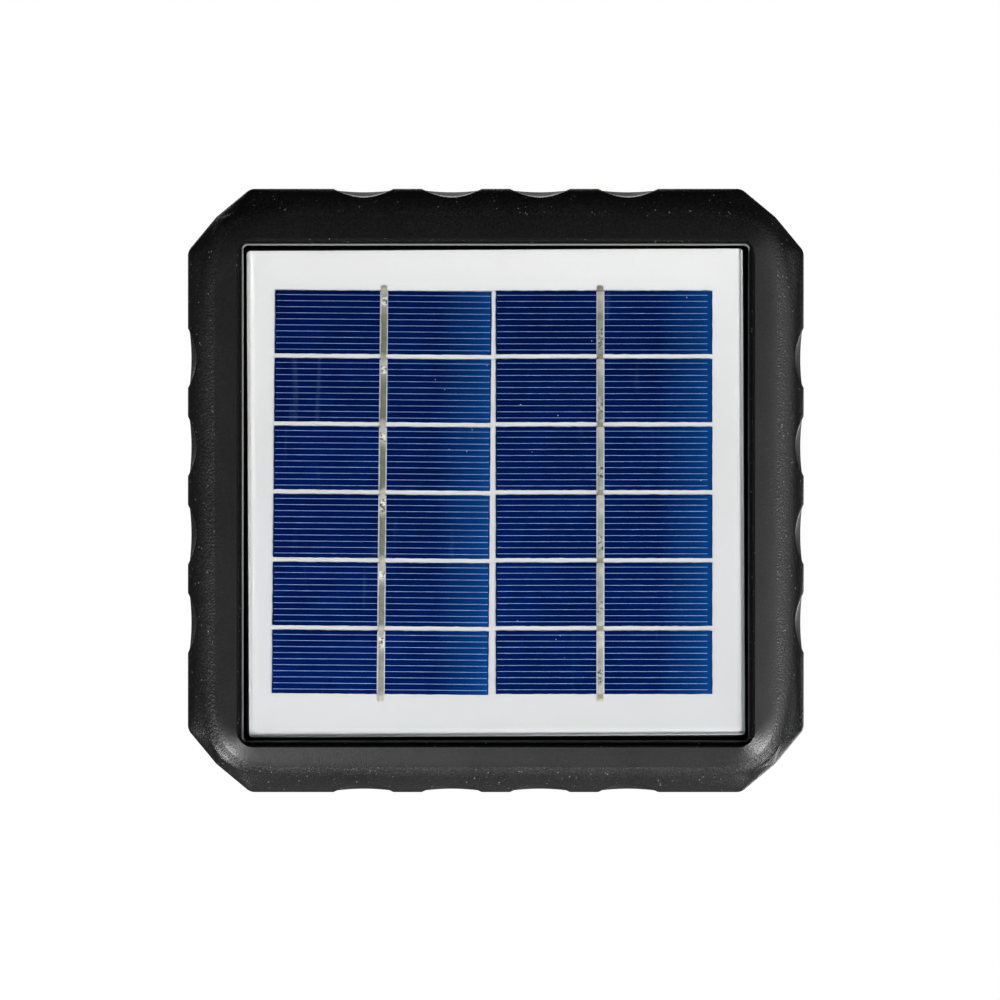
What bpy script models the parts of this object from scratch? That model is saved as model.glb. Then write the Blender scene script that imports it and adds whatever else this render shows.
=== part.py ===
"""Solar fence energizer: a square battery fence charger with a solar panel in its front.

Metres, +Z up, panel facing -Y. The origin is the centre of the rear bracket's post face.
"""

from math import atan2, cos, pi, radians, sin, tan

import bmesh
import bpy
from mathutils import Matrix, Vector

# ---- driving dimensions ------------------------------------------------------------------
FRAME_WIDTH = 0.148
FRAME_HEIGHT = 0.145
FRAME_Z = -0.042  # middle of the front frame below the middle of the bracket
CREST_Y = -0.060  # foremost line of the front frame
PARTING_Y = -0.040  # back edge of the front frame
BACK_Y = -0.008  # rear face of the rear housing
WALL = 0.0025  # rear housing wall
GAP = 0.0003  # between pieces that touch

CORNER_CUT = 0.0150  # where a corner's facets leave the sides
CREASE_CUT = 0.0068  # how far the crease between them lies in from each side
SCALLOP_PITCH = 0.0212
SCALLOP_HALF = 0.0072
SCALLOP_SEGMENTS = 6
SCALLOPS_PER_SIDE = 4

GLASS_WIDTH = 0.1196
GLASS_HEIGHT = 0.1173
GLASS_Z = FRAME_Z - 0.0006  # the window sits a little low in the frame
GLASS_Y = -0.0580  # front of the glass
GLASS_THICK = 0.0016
CELL_LAYER = (-0.0560, -0.0558)  # front and back of each layer behind the glass
RIBBON_LAYER = (-0.05625, -0.0561)
SHEET_LAYER = (-0.0557, -0.0542)
TAPE_LAYER = (-0.0539, -0.0529)
TAPE_WIDTH = 0.0034
LEDGE_Y = -0.0526  # seat of the panel in the frame
LEDGE_WIDTH = 0.0037
LEDGE_THICK = 0.0020

CELL_WIDTH = 0.0520
CELL_HEIGHT = 0.0152
CELL_PITCH = 0.01632
CELLS_PER_STRING = 6
STRING_X = (-0.0274, 0.0260)
STRING_TILT = (radians(0.5), 0.0)
STRING_Z = FRAME_Z - 0.0005
RIBBON_WIDTH = 0.0020
RIBBON_OVERRUN = 0.0012  # past the first and last cell

BODY_HALF_WIDTH = 0.0670
BODY_TOP = FRAME_Z + 0.0665
BODY_FLOOR = FRAME_Z - 0.0425  # underside, which carries the terminals
BODY_TAPER = 0.0010
TOP_CORNER = 0.0280
FLOOR_CORNER = 0.0100
FLANGE_FRONT = PARTING_Y + 0.0016
FLANGE_BACK = FLANGE_FRONT + 0.0030
SCREW_X = 0.0625
SCREW_Z = 0.0610

BOARD_Y = -0.0365
BOARD_THICK = 0.0016
BOARD_HALF_WIDTH = 0.0570
BOARD_BOTTOM = -0.0790
BOARD_TOP = 0.0100
POST_X = 0.0540
POST_Z = -0.0440
PARTS_Z = -0.0060  # row of tall parts on the board

BAY_Z = -0.0465  # middle of the battery bay
BAY_HALF_WIDTH = 0.0450
BAY_HALF_HEIGHT = 0.0225
BAY_LEDGE_X = 0.0040  # width of the ledge round the bay's mouth, which the door's seal meets
BAY_LEDGE_Z = 0.0030
BAY_LEDGE_Y = -0.0120
DOOR_THICK = 0.0026
BATTERY_RADIUS = 0.0092
BATTERY_LENGTH = 0.0650
BATTERY_Y = -0.0226
BATTERY_PITCH = 0.0194
HINGE_Y = -0.0057
HINGE_Z = -0.0250
KNUCKLE = 0.0022
PIN = 0.0010
DOOR_LUG_X = 0.0195  # half the length of the door's knuckle
LUG_X = 0.0300  # outer end of the housing's lugs

TERMINAL_X = 0.0360
TERMINAL_Y = -0.0230
STUD = 0.0030
COLLAR = 0.0090
KNOB = 0.0085
KNOB_TOP = -0.0069
KNOB_LENGTH = 0.0120
STUD_LENGTH = 0.0250  # below the housing's underside
SWITCH_TILT = radians(12)
SWITCH_PIVOT = -0.0011  # below the housing's underside
LED_X = 0.0185

BRACKET_HALF_WIDTH = 0.0300
BRACKET_HALF_HEIGHT = 0.0220
BRACKET_THICK = 0.0020
CROWN_HALF_HEIGHT = 0.0140
KEYHOLE_X = 0.0180
BRACKET_SCREW_X = 0.0220
BRACKET_SCREW_Z = 0.01875


# ---- scene and materials ------------------------------------------------------------------
def clear_scene():
    for thing in list(bpy.data.objects):
        bpy.data.objects.remove(thing, do_unlink=True)


def material(name, color, roughness, metallic=0.0, alpha=1.0):
    made = bpy.data.materials.new(name)
    made.use_nodes = True
    shader = made.node_tree.nodes["Principled BSDF"]
    shader.inputs["Base Color"].default_value = (*color, 1.0)
    shader.inputs["Roughness"].default_value = roughness
    shader.inputs["Metallic"].default_value = metallic
    shader.inputs["Alpha"].default_value = alpha
    return made


# ---- shapes ---------------------------------------------------------------------------------
def loft(rings, closed=False):
    """A mesh through rings of equally many points, capped at its ends or closed on itself."""
    mesh = bmesh.new()
    loops = [[mesh.verts.new(point) for point in ring] for ring in rings]
    pairs = list(zip(loops, loops[1:]))
    if closed:
        pairs.append((loops[-1], loops[0]))
    else:
        mesh.faces.new(loops[0])
        mesh.faces.new(loops[-1])
    for first, second in pairs:
        for i, corner in enumerate(first):
            j = (i + 1) % len(first)
            mesh.faces.new((corner, first[j], second[j], second[i]))
    bmesh.ops.recalc_face_normals(mesh, faces=mesh.faces)
    return mesh


def box(low, high):
    """A box between two corners."""
    mesh = bmesh.new()
    bmesh.ops.create_cube(mesh, size=1.0)
    low, high = Vector(low), Vector(high)
    size = Matrix.Diagonal((*(high - low), 1.0))
    bmesh.ops.transform(mesh, matrix=Matrix.Translation((low + high) / 2) @ size, verts=mesh.verts)
    return mesh


def circle(radius, height, steps=20):
    """A ring of points round Z."""
    angles = [2 * pi * i / steps for i in range(steps)]
    return [Vector((radius * cos(a), radius * sin(a), height)) for a in angles]


def turned(profile, steps=20, closed=False):
    """A solid of (radius, height) points turned round Z. With closed, the profile is a loop off the axis."""
    return loft([circle(radius, height, steps) for radius, height in profile], closed)


def rod(start, end, radius, steps=16):
    """A round bar between two points."""
    start, end = Vector(start), Vector(end)
    mesh = turned([(radius, 0.0), (radius, (end - start).length)], steps)
    aim = (end - start).to_track_quat("Z", "Y").to_matrix().to_4x4()
    bmesh.ops.transform(mesh, matrix=Matrix.Translation(start) @ aim, verts=mesh.verts)
    return mesh


def rounded(half_width, low, high, radii, y, steps=6):
    """A ring in the plane y: a rectangle whose upper and lower corners have their own radii."""
    top, bottom = radii
    centres = (
        (half_width - top, high - top, top, 0),
        (top - half_width, high - top, top, 1),
        (bottom - half_width, low + bottom, bottom, 2),
        (half_width - bottom, low + bottom, bottom, 3),
    )
    ring = []
    for x, z, radius, quarter in centres:
        for i in range(steps + 1):
            angle = (quarter + i / steps) * pi / 2
            ring.append(Vector((x + radius * cos(angle), y, z + radius * sin(angle))))
    return ring


def outline(inset, groove, y):
    """The outer outline at depth y, its sides moved in by inset and its finger scallops groove deep."""
    half_width = FRAME_WIDTH / 2 - inset
    half_height = FRAME_HEIGHT / 2 - inset
    facet_turn = atan2(CREASE_CUT, CORNER_CUT - CREASE_CUT)
    cut = CORNER_CUT - inset + inset * tan(facet_turn / 2)
    crease = CREASE_CUT - inset + inset / (cos(facet_turn) + sin(facet_turn))
    ring = []
    for side in range(4):
        along, away = (half_height, half_width) if side % 2 == 0 else (half_width, half_height)
        points = [(-along + cut, away)]
        for scallop in range(SCALLOPS_PER_SIDE):
            middle = (scallop - (SCALLOPS_PER_SIDE - 1) / 2) * SCALLOP_PITCH
            for step in range(SCALLOP_SEGMENTS + 1):
                reach = 2 * step / SCALLOP_SEGMENTS - 1
                depth = groove * (1 - reach * reach)
                points.append((middle + reach * SCALLOP_HALF, away - depth))
        points.append((along - cut, away))
        points.append((along - crease, away - crease))
        turn = Matrix.Rotation(side * pi / 2, 2)
        ring += [turn @ Vector((out, run)) for run, out in points]
    return [Vector((point.x, y, FRAME_Z + point.y)) for point in ring]


# ---- objects --------------------------------------------------------------------------------
def add(name, mesh, finish=None, parent=None, smooth=False):
    """An object of this mesh, whose points are measured from the parent."""
    data = bpy.data.meshes.new(name)
    mesh.to_mesh(data)
    mesh.free()
    made = bpy.data.objects.new(name, data)
    bpy.context.scene.collection.objects.link(made)
    if finish:
        data.materials.append(finish)
    if smooth:
        data.shade_smooth()
        data.set_sharp_from_angle(angle=radians(35))
    made.parent = parent
    return made


def empty(name, place, parent=None):
    made = bpy.data.objects.new(name, None)
    bpy.context.scene.collection.objects.link(made)
    made.location = place
    made.parent = parent
    return made


def shape(target, operation, *meshes):
    """Cuts these meshes from the target, or joins them to it, one Boolean for each."""
    for number, mesh in enumerate(meshes):
        name = f"{target.name}_{operation.lower()}_{len(target.modifiers)}_{number}"
        helper = add(name, mesh, parent=target.parent)
        helper.hide_render = True
        helper.display_type = "WIRE"
        modifier = target.modifiers.new(name, "BOOLEAN")
        modifier.operation = operation
        modifier.solver = "EXACT"
        modifier.object = helper


def cut(target, *meshes):
    shape(target, "DIFFERENCE", *meshes)


def join(target, *meshes):
    shape(target, "UNION", *meshes)


def pivot_at(target, place):
    """Moves an object's origin to a point of its joint's axis."""
    target.data.transform(Matrix.Translation(-Vector(place)))
    target.location = place


def lead(name, points, radius, finish):
    """A wire on a smooth curve through these points."""
    curve = bpy.data.curves.new(name, "CURVE")
    curve.dimensions = "3D"
    curve.bevel_depth = radius
    curve.bevel_resolution = 2
    curve.use_fill_caps = True
    route = smooth_route(points)
    spline = curve.splines.new("POLY")
    spline.points.add(len(route) - 1)
    for point, place in zip(spline.points, route):
        point.co = (*place, 1.0)
    curve.materials.append(finish)
    made = bpy.data.objects.new(name, curve)
    bpy.context.scene.collection.objects.link(made)
    return made


def smooth_route(points, steps=4):
    """Catmull-Rom points through a route."""
    points = [Vector(point) for point in points]
    ends = [2 * points[0] - points[1]] + points + [2 * points[-1] - points[-2]]
    route = []
    for a, b, c, d in zip(ends, ends[1:], ends[2:], ends[3:]):
        for i in range(steps):
            t = i / steps
            curve = 2 * b + (c - a) * t + (2 * a - 5 * b + 4 * c - d) * t**2 + (3 * b - a - 3 * c + d) * t**3
            route.append(curve / 2)
    return route + [points[-1]]


def pan_screw(name, seat, direction, head, head_height, shank, length, finish):
    """A cross-head screw whose head rests with its underside on seat and whose shank points in direction."""
    mesh = turned(
        [
            (head * 0.75, -head_height),
            (head, -head_height * 0.55),
            (head, 0.0),
            (shank, 0.0),
            (shank, length - shank),
            (shank * 0.3, length),
        ],
        14,
    )
    aim = Vector(direction).to_track_quat("Z", "Y").to_matrix().to_4x4()
    place = Matrix.Translation(seat) @ aim
    bmesh.ops.transform(mesh, matrix=place, verts=mesh.verts)
    screw = add(name, mesh, finish, smooth=True)
    slot_half, slot_width = head * 0.5, head * 0.11
    for across in ((slot_half, slot_width), (slot_width, slot_half)):
        slot = box((-across[0], -across[1], -head_height * 1.2), (*across, -head_height * 0.45))
        bmesh.ops.transform(slot, matrix=place, verts=slot.verts)
        cut(screw, slot)
    return screw


# ---- front: frame and solar panel -----------------------------------------------------------
def window(grow, y, radius=0.0012):
    """A ring round the panel, grow larger than the glass on every side."""
    low = GLASS_Z - GLASS_HEIGHT / 2 - grow
    high = GLASS_Z + GLASS_HEIGHT / 2 + grow
    return rounded(GLASS_WIDTH / 2 + grow, low, high, (radius, radius), y, 3)


def front_frame(finish):
    shell = (
        (0.0, 0.0005, PARTING_Y),
        (0.0, 0.0018, -0.0532),
        (0.0003, 0.0018, -0.0541),
        (0.0012, 0.0011, -0.0557),
        (0.0034, 0.0, -0.0578),
        (0.0060, 0.0, -0.0589),
        (0.0090, 0.0, -0.0596),
        (0.0118, 0.0, CREST_Y),
    )
    frame = add("front_frame", loft([outline(*ring) for ring in shell]), finish, smooth=True)
    rim, ledge_back = -0.0570, LEDGE_Y + LEDGE_THICK
    lip = [window(0.0036, CREST_Y - 0.001, 0.004), window(GAP, GLASS_Y), window(GAP, PARTING_Y + 0.001)]
    hollow = [outline(0.0034, 0.0, -0.0558), outline(0.0030, 0.0, PARTING_Y + 0.001)]
    cut(frame, loft(lip), loft(hollow))
    seat = [
        window(0.0030, rim, 0.003),
        window(0.0030, ledge_back, 0.003),
        window(-LEDGE_WIDTH, ledge_back),
        window(-LEDGE_WIDTH, LEDGE_Y),
        window(GAP, LEDGE_Y),
        window(GAP, rim),
    ]
    join(frame, loft(seat, closed=True))
    for x, z in corner_screws():
        join(frame, rod((x, rim + 0.0006, z), (x, PARTING_Y, z), 0.0038, 12))
        cut(frame, rod((x, -0.0510, z), (x, PARTING_Y + 0.001, z), 0.0019, 12))
    return frame


def corner_screws():
    return [(x, FRAME_Z + z) for x in (-SCREW_X, SCREW_X) for z in (-SCREW_Z, SCREW_Z)]


def panel(finishes):
    glass_back = GLASS_Y + GLASS_THICK
    add("panel_glass", loft([window(0.0, GLASS_Y), window(0.0, glass_back)]), finishes["glass"])
    add("panel_backsheet", loft([window(0.0, y) for y in SHEET_LAYER]), finishes["white"])
    tape = [window(0.0, y) for y in TAPE_LAYER] + [window(-TAPE_WIDTH, y) for y in reversed(TAPE_LAYER)]
    add("panel_seal", loft(tape, closed=True), finishes["rubber"])
    for string, (x, tilt) in enumerate(zip(STRING_X, STRING_TILT)):
        pivot = empty(f"cell_string_{string + 1}", (x, 0.0, STRING_Z))
        pivot.rotation_euler.y = tilt
        for row in range(CELLS_PER_STRING):
            z = ((CELLS_PER_STRING - 1) / 2 - row) * CELL_PITCH
            number = string * CELLS_PER_STRING + row + 1
            low = (-CELL_WIDTH / 2, CELL_LAYER[0], z - CELL_HEIGHT / 2)
            high = (CELL_WIDTH / 2, CELL_LAYER[1], z + CELL_HEIGHT / 2)
            add(f"solar_cell_{number:02d}", box(low, high), finishes["silicon"], pivot)
        reach = CELLS_PER_STRING * CELL_PITCH / 2 + RIBBON_OVERRUN
        side = ("left", "right")[string]
        strip = box((-RIBBON_WIDTH / 2, RIBBON_LAYER[0], -reach), (RIBBON_WIDTH / 2, RIBBON_LAYER[1], reach))
        add(f"cell_ribbon_{side}", strip, finishes["tin"], pivot)


# ---- rear housing ---------------------------------------------------------------------------
def body_ring(shrink, y):
    """The rear housing's outline behind its flange: sides and top shrink, the underside stays level."""
    low = BODY_FLOOR + max(0.0, shrink - BODY_TAPER)
    radii = (TOP_CORNER - shrink, FLOOR_CORNER - shrink)
    return rounded(BODY_HALF_WIDTH - shrink, low, BODY_TOP - shrink, radii, y)


def hollow_ring(shrink, y):
    low = BODY_FLOOR + WALL
    radii = (TOP_CORNER - WALL - shrink, FLOOR_CORNER - WALL - shrink)
    return rounded(BODY_HALF_WIDTH - WALL - shrink, low, BODY_TOP - WALL - shrink, radii, y)


def bay_ring(grow_x, grow_z, y, radius=0.0015):
    low = BAY_Z - BAY_HALF_HEIGHT - grow_z
    high = BAY_Z + BAY_HALF_HEIGHT + grow_z
    return rounded(BAY_HALF_WIDTH + grow_x, low, high, (radius, radius), y, 2)


def rear_housing(finish):
    flange = (
        (0.0003, 0.0005, FLANGE_FRONT),
        (0.0003, 0.0005, FLANGE_BACK - 0.0008),
        (0.0014, 0.0003, FLANGE_BACK),
    )
    housing = add("rear_housing", loft([outline(*ring) for ring in flange]), finish, smooth=True)
    body = (
        (0.0, FLANGE_BACK - 0.001),
        (BODY_TAPER, BACK_Y - 0.0015),
        (BODY_TAPER + 0.0004, BACK_Y - 0.0005),
        (BODY_TAPER + 0.0014, BACK_Y),
    )
    join(housing, loft([body_ring(*ring) for ring in body]))
    cut(housing, loft([hollow_ring(0.0, FLANGE_FRONT - 0.001), hollow_ring(BODY_TAPER, BACK_Y - WALL)]))
    ledge_front = BAY_LEDGE_Y - 0.0015
    join(housing, loft([bay_ring(0.003, 0.003, ledge_front), bay_ring(0.003, 0.003, BACK_Y - 0.001)]))
    mouth = [bay_ring(0.0, 0.0, y) for y in (BAY_LEDGE_Y, BACK_Y + 0.001)]
    throat = [bay_ring(-BAY_LEDGE_X, -BAY_LEDGE_Z, y) for y in (ledge_front - 0.001, BACK_Y)]
    cut(housing, loft(mouth), loft(throat))
    hinge_lugs(housing)
    inner_back = BACK_Y - WALL
    for x in (-BRACKET_SCREW_X, BRACKET_SCREW_X):
        for z in (-BRACKET_SCREW_Z, BRACKET_SCREW_Z):
            join(housing, rod((x, inner_back - 0.005, z), (x, inner_back + 0.001, z), 0.0035, 12))
            cut(housing, rod((x, inner_back - 0.004, z), (x, BACK_Y + 0.001, z), 0.0018, 12))
    for x in (-POST_X, POST_X):
        board_back = BOARD_Y + BOARD_THICK + GAP
        join(housing, rod((x, board_back, POST_Z), (x, inner_back + 0.001, POST_Z), 0.0034, 12))
        cut(housing, rod((x, board_back - 0.001, POST_Z), (x, board_back + 0.010, POST_Z), 0.0015, 12))
    for x, z in corner_screws():
        cut(housing, rod((x, FLANGE_FRONT - 0.001, z), (x, FLANGE_BACK + 0.001, z), 0.0020, 12))
    above, below = BODY_FLOOR + WALL + 0.001, BODY_FLOOR - 0.001
    for x in (-TERMINAL_X, TERMINAL_X):
        cut(housing, rod((x, TERMINAL_Y, below), (x, TERMINAL_Y, above), 0.0053))
    cut(
        housing,
        box((-0.0096, TERMINAL_Y - 0.0065, below), (0.0096, TERMINAL_Y + 0.0065, above)),
        rod((LED_X, TERMINAL_Y, below), (LED_X, TERMINAL_Y, above), 0.0028, 16),
    )
    return housing


def hinge_lugs(housing):
    """Two bored lugs above the battery bay."""
    top = BAY_Z + BAY_HALF_HEIGHT
    for side in (-1, 1):
        inner, outer = sorted((side * (DOOR_LUG_X + 0.0005), side * LUG_X))
        join(
            housing,
            rod((inner, HINGE_Y, HINGE_Z), (outer, HINGE_Y, HINGE_Z), KNUCKLE),
            box((inner, BACK_Y - 0.001, top), (outer, HINGE_Y + 0.0006, top + 0.0016)),
        )
        bore = rod((inner - 0.001, HINGE_Y, HINGE_Z), (outer + 0.001, HINGE_Y, HINGE_Z), PIN + GAP)
        cut(housing, bore)


def housing_gasket(finish):
    front, back = PARTING_Y + GAP, FLANGE_FRONT - GAP
    outer, inner = 0.0016, 0.0040
    corners = ((outer, front), (outer, back), (inner, back), (inner, front))
    add("housing_gasket", loft([outline(inset, 0.0, y) for inset, y in corners], closed=True), finish)


def housing_screws(finish):
    for number, (x, z) in enumerate(corner_screws()):
        seat = (x, FLANGE_BACK + GAP, z)
        pan_screw(f"housing_screw_{number + 1}", seat, (0, -1, 0), 0.0030, 0.0022, 0.0015, 0.0140, finish)


# ---- electronics ------------------------------------------------------------------------------
def electronics(finishes):
    back = BOARD_Y + BOARD_THICK
    board = add(
        "circuit_board",
        box((-BOARD_HALF_WIDTH, BOARD_Y, BOARD_BOTTOM), (BOARD_HALF_WIDTH, back, BOARD_TOP)),
        finishes["board"],
    )
    for number, x in enumerate((-POST_X, POST_X)):
        cut(board, rod((x, BOARD_Y - 0.001, POST_Z), (x, back + 0.001, POST_Z), 0.0016, 12))
        name = f"board_screw_{number + 1}"
        seat = (x, BOARD_Y - GAP, POST_Z)
        pan_screw(name, seat, (0, 1, 0), 0.0026, 0.0018, 0.0012, 0.0090, finishes["zinc"])
    transformer(finishes, -0.0280, back + GAP)
    axis_y = back + GAP + 0.0092
    can = turned(
        [
            (0.0084, 0.0),
            (0.0090, 0.0006),
            (0.0090, 0.0024),
            (0.0083, 0.0030),
            (0.0090, 0.0036),
            (0.0090, 0.0332),
            (0.0082, 0.0340),
        ],
        24,
    )
    capacitor = add("storage_capacitor", can, finishes["sleeve"], smooth=True)
    capacitor.location = (0.0080, axis_y, PARTS_Z)
    capacitor.rotation_euler.y = pi / 2
    thyristor = add(
        "switching_thyristor",
        box((0.0475, back + GAP, PARTS_Z - 0.0045), (0.0520, back + 0.0095, PARTS_Z + 0.0055)),
        finishes["black"],
    )
    join(thyristor, box((0.0508, back + 0.004, PARTS_Z - 0.0045), (0.0520, back + 0.0160, PARTS_Z + 0.0055)))


def transformer(finishes, x, seat):
    """A pulse transformer: an E-E core with its winding on the middle leg."""
    middle = seat + 0.0081
    core_half = (0.0152, 0.0045, 0.0140)
    leg, window_out, window_half = 0.0040, 0.0102, 0.0090
    place = Vector((x, middle, PARTS_Z))
    block = box(place - Vector(core_half), place + Vector(core_half))
    core = add("transformer_core", block, finishes["ferrite"])
    for side in (-1, 1):
        near, far = sorted((side * leg, side * window_out))
        low = place + Vector((near, -0.006, -window_half))
        cut(core, box(low, place + Vector((far, 0.006, window_half))))
    half_z = window_half - GAP
    sizes = ((0.0099, 0.0081, 0.0015), (leg + GAP, 0.0048, 0.0002))
    rings = []
    for (half_x, half_y, radius), heights in zip(sizes, ((-half_z, half_z), (half_z, -half_z))):
        for z in heights:
            corners = rounded(half_x, -half_y, half_y, (radius, radius), 0.0, 3)
            rings.append([place + Vector((corner.x, corner.z, z)) for corner in corners])
    add("transformer_coil", loft(rings, closed=True), finishes["copper"], smooth=True)


# ---- battery bay ------------------------------------------------------------------------------
def battery_bay(finishes):
    floor = BOARD_Y + BOARD_THICK + GAP
    rim = BAY_LEDGE_Y - 0.0018
    half_x, half_z = 0.0385, 0.0208
    wall = 0.0014
    tray = box((-half_x, floor, BAY_Z - half_z), (half_x, rim, BAY_Z + half_z))
    hollow_low = (wall - half_x, floor + wall, BAY_Z - half_z + wall)
    hollow_high = (half_x - wall, rim + 0.001, BAY_Z + half_z - wall)
    holder = add("battery_holder", tray, finishes["black"])
    cut(holder, box(hollow_low, hollow_high))
    contact_x = half_x - wall - GAP
    low_z, high_z = BAY_Z - half_z + wall + GAP, BAY_Z + half_z - wall - GAP
    plate = 0.0005
    for name, side, reach in (("battery_spring_plate", -1, 0.0050), ("battery_contact_plate", 1, 0.0010)):
        inner, outer = sorted((side * contact_x, side * (contact_x - plate)))
        contact = add(
            name,
            box((inner, floor + wall + GAP, low_z), (outer, rim - 0.0006, high_z)),
            finishes["nickel"],
        )
        for centre in battery_centres():
            root = Vector((side * (contact_x - plate / 2), *centre))
            tip = root - Vector((side * (reach + plate / 2), 0.0, 0.0))
            cone = turned([(0.0044, 0.0), (0.0028, (tip - root).length)], 14)
            aim = (tip - root).to_track_quat("Z", "Y").to_matrix().to_4x4()
            bmesh.ops.transform(cone, matrix=Matrix.Translation(root) @ aim, verts=cone.verts)
            join(contact, cone)
    for number, (y, z) in enumerate(battery_centres()):
        profile = [
            (BATTERY_RADIUS - 0.0006, 0.0),
            (BATTERY_RADIUS, 0.0006),
            (BATTERY_RADIUS, BATTERY_LENGTH - 0.0020),
            (BATTERY_RADIUS - 0.0006, BATTERY_LENGTH - 0.0014),
            (0.0040, BATTERY_LENGTH - 0.0014),
            (0.0040, BATTERY_LENGTH),
        ]
        cell = add(f"battery_cell_{number + 1}", turned(profile, 24), finishes["sleeve"], smooth=True)
        cell.location = (contact_x - plate - 0.0010 - GAP - BATTERY_LENGTH, y, z)
        cell.rotation_euler.y = pi / 2
    battery_door(finishes)


def battery_centres():
    return [(BATTERY_Y, BAY_Z + side * BATTERY_PITCH / 2) for side in (1, -1)]


def battery_door(finishes):
    """A plate hung from its top edge, with a finger tab at the bottom and a foam seal inside."""
    outer, inner = BACK_Y, BACK_Y - DOOR_THICK
    plate = [bay_ring(-0.0009, -0.0009, inner), bay_ring(-0.0005, -0.0005, outer)]
    door = add("battery_door", loft(plate), finishes["shell"])
    tab_low, tab_high = BAY_Z - BAY_HALF_HEIGHT + 0.0020, BAY_Z - 0.0178
    join(
        door,
        rod((-DOOR_LUG_X, HINGE_Y, HINGE_Z), (DOOR_LUG_X, HINGE_Y, HINGE_Z), KNUCKLE),
        box((-DOOR_LUG_X, outer - 0.001, HINGE_Z - 0.0024), (DOOR_LUG_X, HINGE_Y, HINGE_Z)),
        box((-0.0120, outer - 0.001, tab_low), (0.0120, outer + 0.0022, tab_high)),
    )
    grips = 5
    for i in range(grips):
        z = BAY_Z - 0.0100 + i * 0.0034
        join(door, box((-0.0280, outer - 0.001, z), (0.0280, outer + 0.0007, z + 0.0014)))
    cut(door, rod((-LUG_X, HINGE_Y, HINGE_Z), (LUG_X, HINGE_Y, HINGE_Z), PIN + GAP))
    seal_front, seal_back = BAY_LEDGE_Y + GAP, inner - GAP
    rings = [
        bay_ring(-0.0006, -0.0010, seal_front),
        bay_ring(-0.0006, -0.0010, seal_back),
        bay_ring(-0.0036, -0.0028, seal_back),
        bay_ring(-0.0036, -0.0028, seal_front),
    ]
    seal = add("battery_door_seal", loft(rings, closed=True), finishes["rubber"])
    for piece in (door, seal):
        pivot_at(piece, (0.0, HINGE_Y, HINGE_Z))
    pin = rod((-LUG_X, HINGE_Y, HINGE_Z), (LUG_X, HINGE_Y, HINGE_Z), PIN)
    add("door_hinge_pin", pin, finishes["steel"], smooth=True)


# ---- underside: terminals, switch, pulse light --------------------------------------------------
def knob_ring(radius, height, lobes=12, flute=0.0007):
    """A ring with a flute between each two lobes."""
    steps = lobes * 2
    points = []
    for i in range(steps):
        reach = radius - (flute if i % 2 else 0.0)
        angle = 2 * pi * i / steps
        points.append(Vector((reach * cos(angle), reach * sin(angle), height)))
    return points


def terminal(name, x, color, finishes):
    """Insulating collar, stud with its hex head inside the housing, clamp washer and thumb knob."""
    axis = empty(f"{name}_axis", (x, TERMINAL_Y, BODY_FLOOR))
    bore = STUD + GAP
    collar_profile = [
        (COLLAR, -GAP),
        (COLLAR, -0.0038),
        (COLLAR - 0.0009, -0.0048),
        (bore, -0.0048),
        (bore, WALL + 0.0010),
        (0.0050, WALL + 0.0010),
        (0.0050, -GAP),
    ]
    add(f"{name}_collar", turned(collar_profile, 24, closed=True), color, axis, smooth=True)
    head_low = WALL + 0.0010 + GAP
    stud_profile = [(STUD - 0.0005, -STUD_LENGTH), (STUD, 0.0005 - STUD_LENGTH), (STUD, head_low + 0.001)]
    stud = add(f"{name}_stud", turned(stud_profile, 24), finishes["steel"], axis, smooth=True)
    join(stud, turned([(0.0057, head_low), (0.0057, head_low + 0.0040)], 6))
    washer_profile = [(0.0080, -0.0051), (0.0080, -0.0066), (bore, -0.0066), (bore, -0.0051)]
    add(f"{name}_washer", turned(washer_profile, 24, closed=True), finishes["steel"], axis, smooth=True)
    end = KNOB_TOP - KNOB_LENGTH
    rings = [
        knob_ring(KNOB - 0.0012, KNOB_TOP, flute=0.0),
        knob_ring(KNOB, KNOB_TOP - 0.0016),
        knob_ring(KNOB, end + 0.0012),
        knob_ring(KNOB - 0.0012, end, flute=0.0),
        circle(bore, end, 24),
        circle(bore, KNOB_TOP, 24),
    ]
    add(f"{name}_knob", loft(rings, closed=True), color, axis, smooth=True)


def power_switch(finishes):
    """A snap-in rocker switch. Its rocker rests tilted to one side, and tips over its pivot to the other."""
    axis = empty("switch_axis", (0.0, TERMINAL_Y, BODY_FLOOR))
    flange_low = -GAP - 0.0018
    body = add(
        "switch_body",
        box((-0.0105, -0.0075, flange_low), (0.0105, 0.0075, -GAP)),
        finishes["black"],
        axis,
    )
    join(body, box((-0.0093, -0.0062, -0.0010), (0.0093, 0.0062, 0.0140)))
    cut(
        body,
        box((-0.0088, -0.0055, flange_low - 0.001), (0.0088, 0.0055, 0.0052)),
        rod((0.0, -0.0060, SWITCH_PIVOT), (0.0, 0.0060, SWITCH_PIVOT), 0.0011, 12),
    )
    half_length, half_width = 0.0081, 0.0052
    section = (
        (-half_length, -0.0020),
        (0.0, -0.0010),
        (half_length, -0.0020),
        (0.0065, 0.0035),
        (-0.0065, 0.0035),
    )
    rings = [[Vector((along, y, up)) for along, up in section] for y in (-half_width, half_width)]
    pivot = empty("switch_rocker_pivot", (0.0, 0.0, SWITCH_PIVOT), axis)
    pivot.rotation_euler.y = -SWITCH_TILT
    rocker = add("switch_rocker", loft(rings), finishes["red"], pivot)
    join(rocker, rod((0.0, -0.0058, 0.0), (0.0, 0.0058, 0.0), 0.0008, 12))


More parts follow.
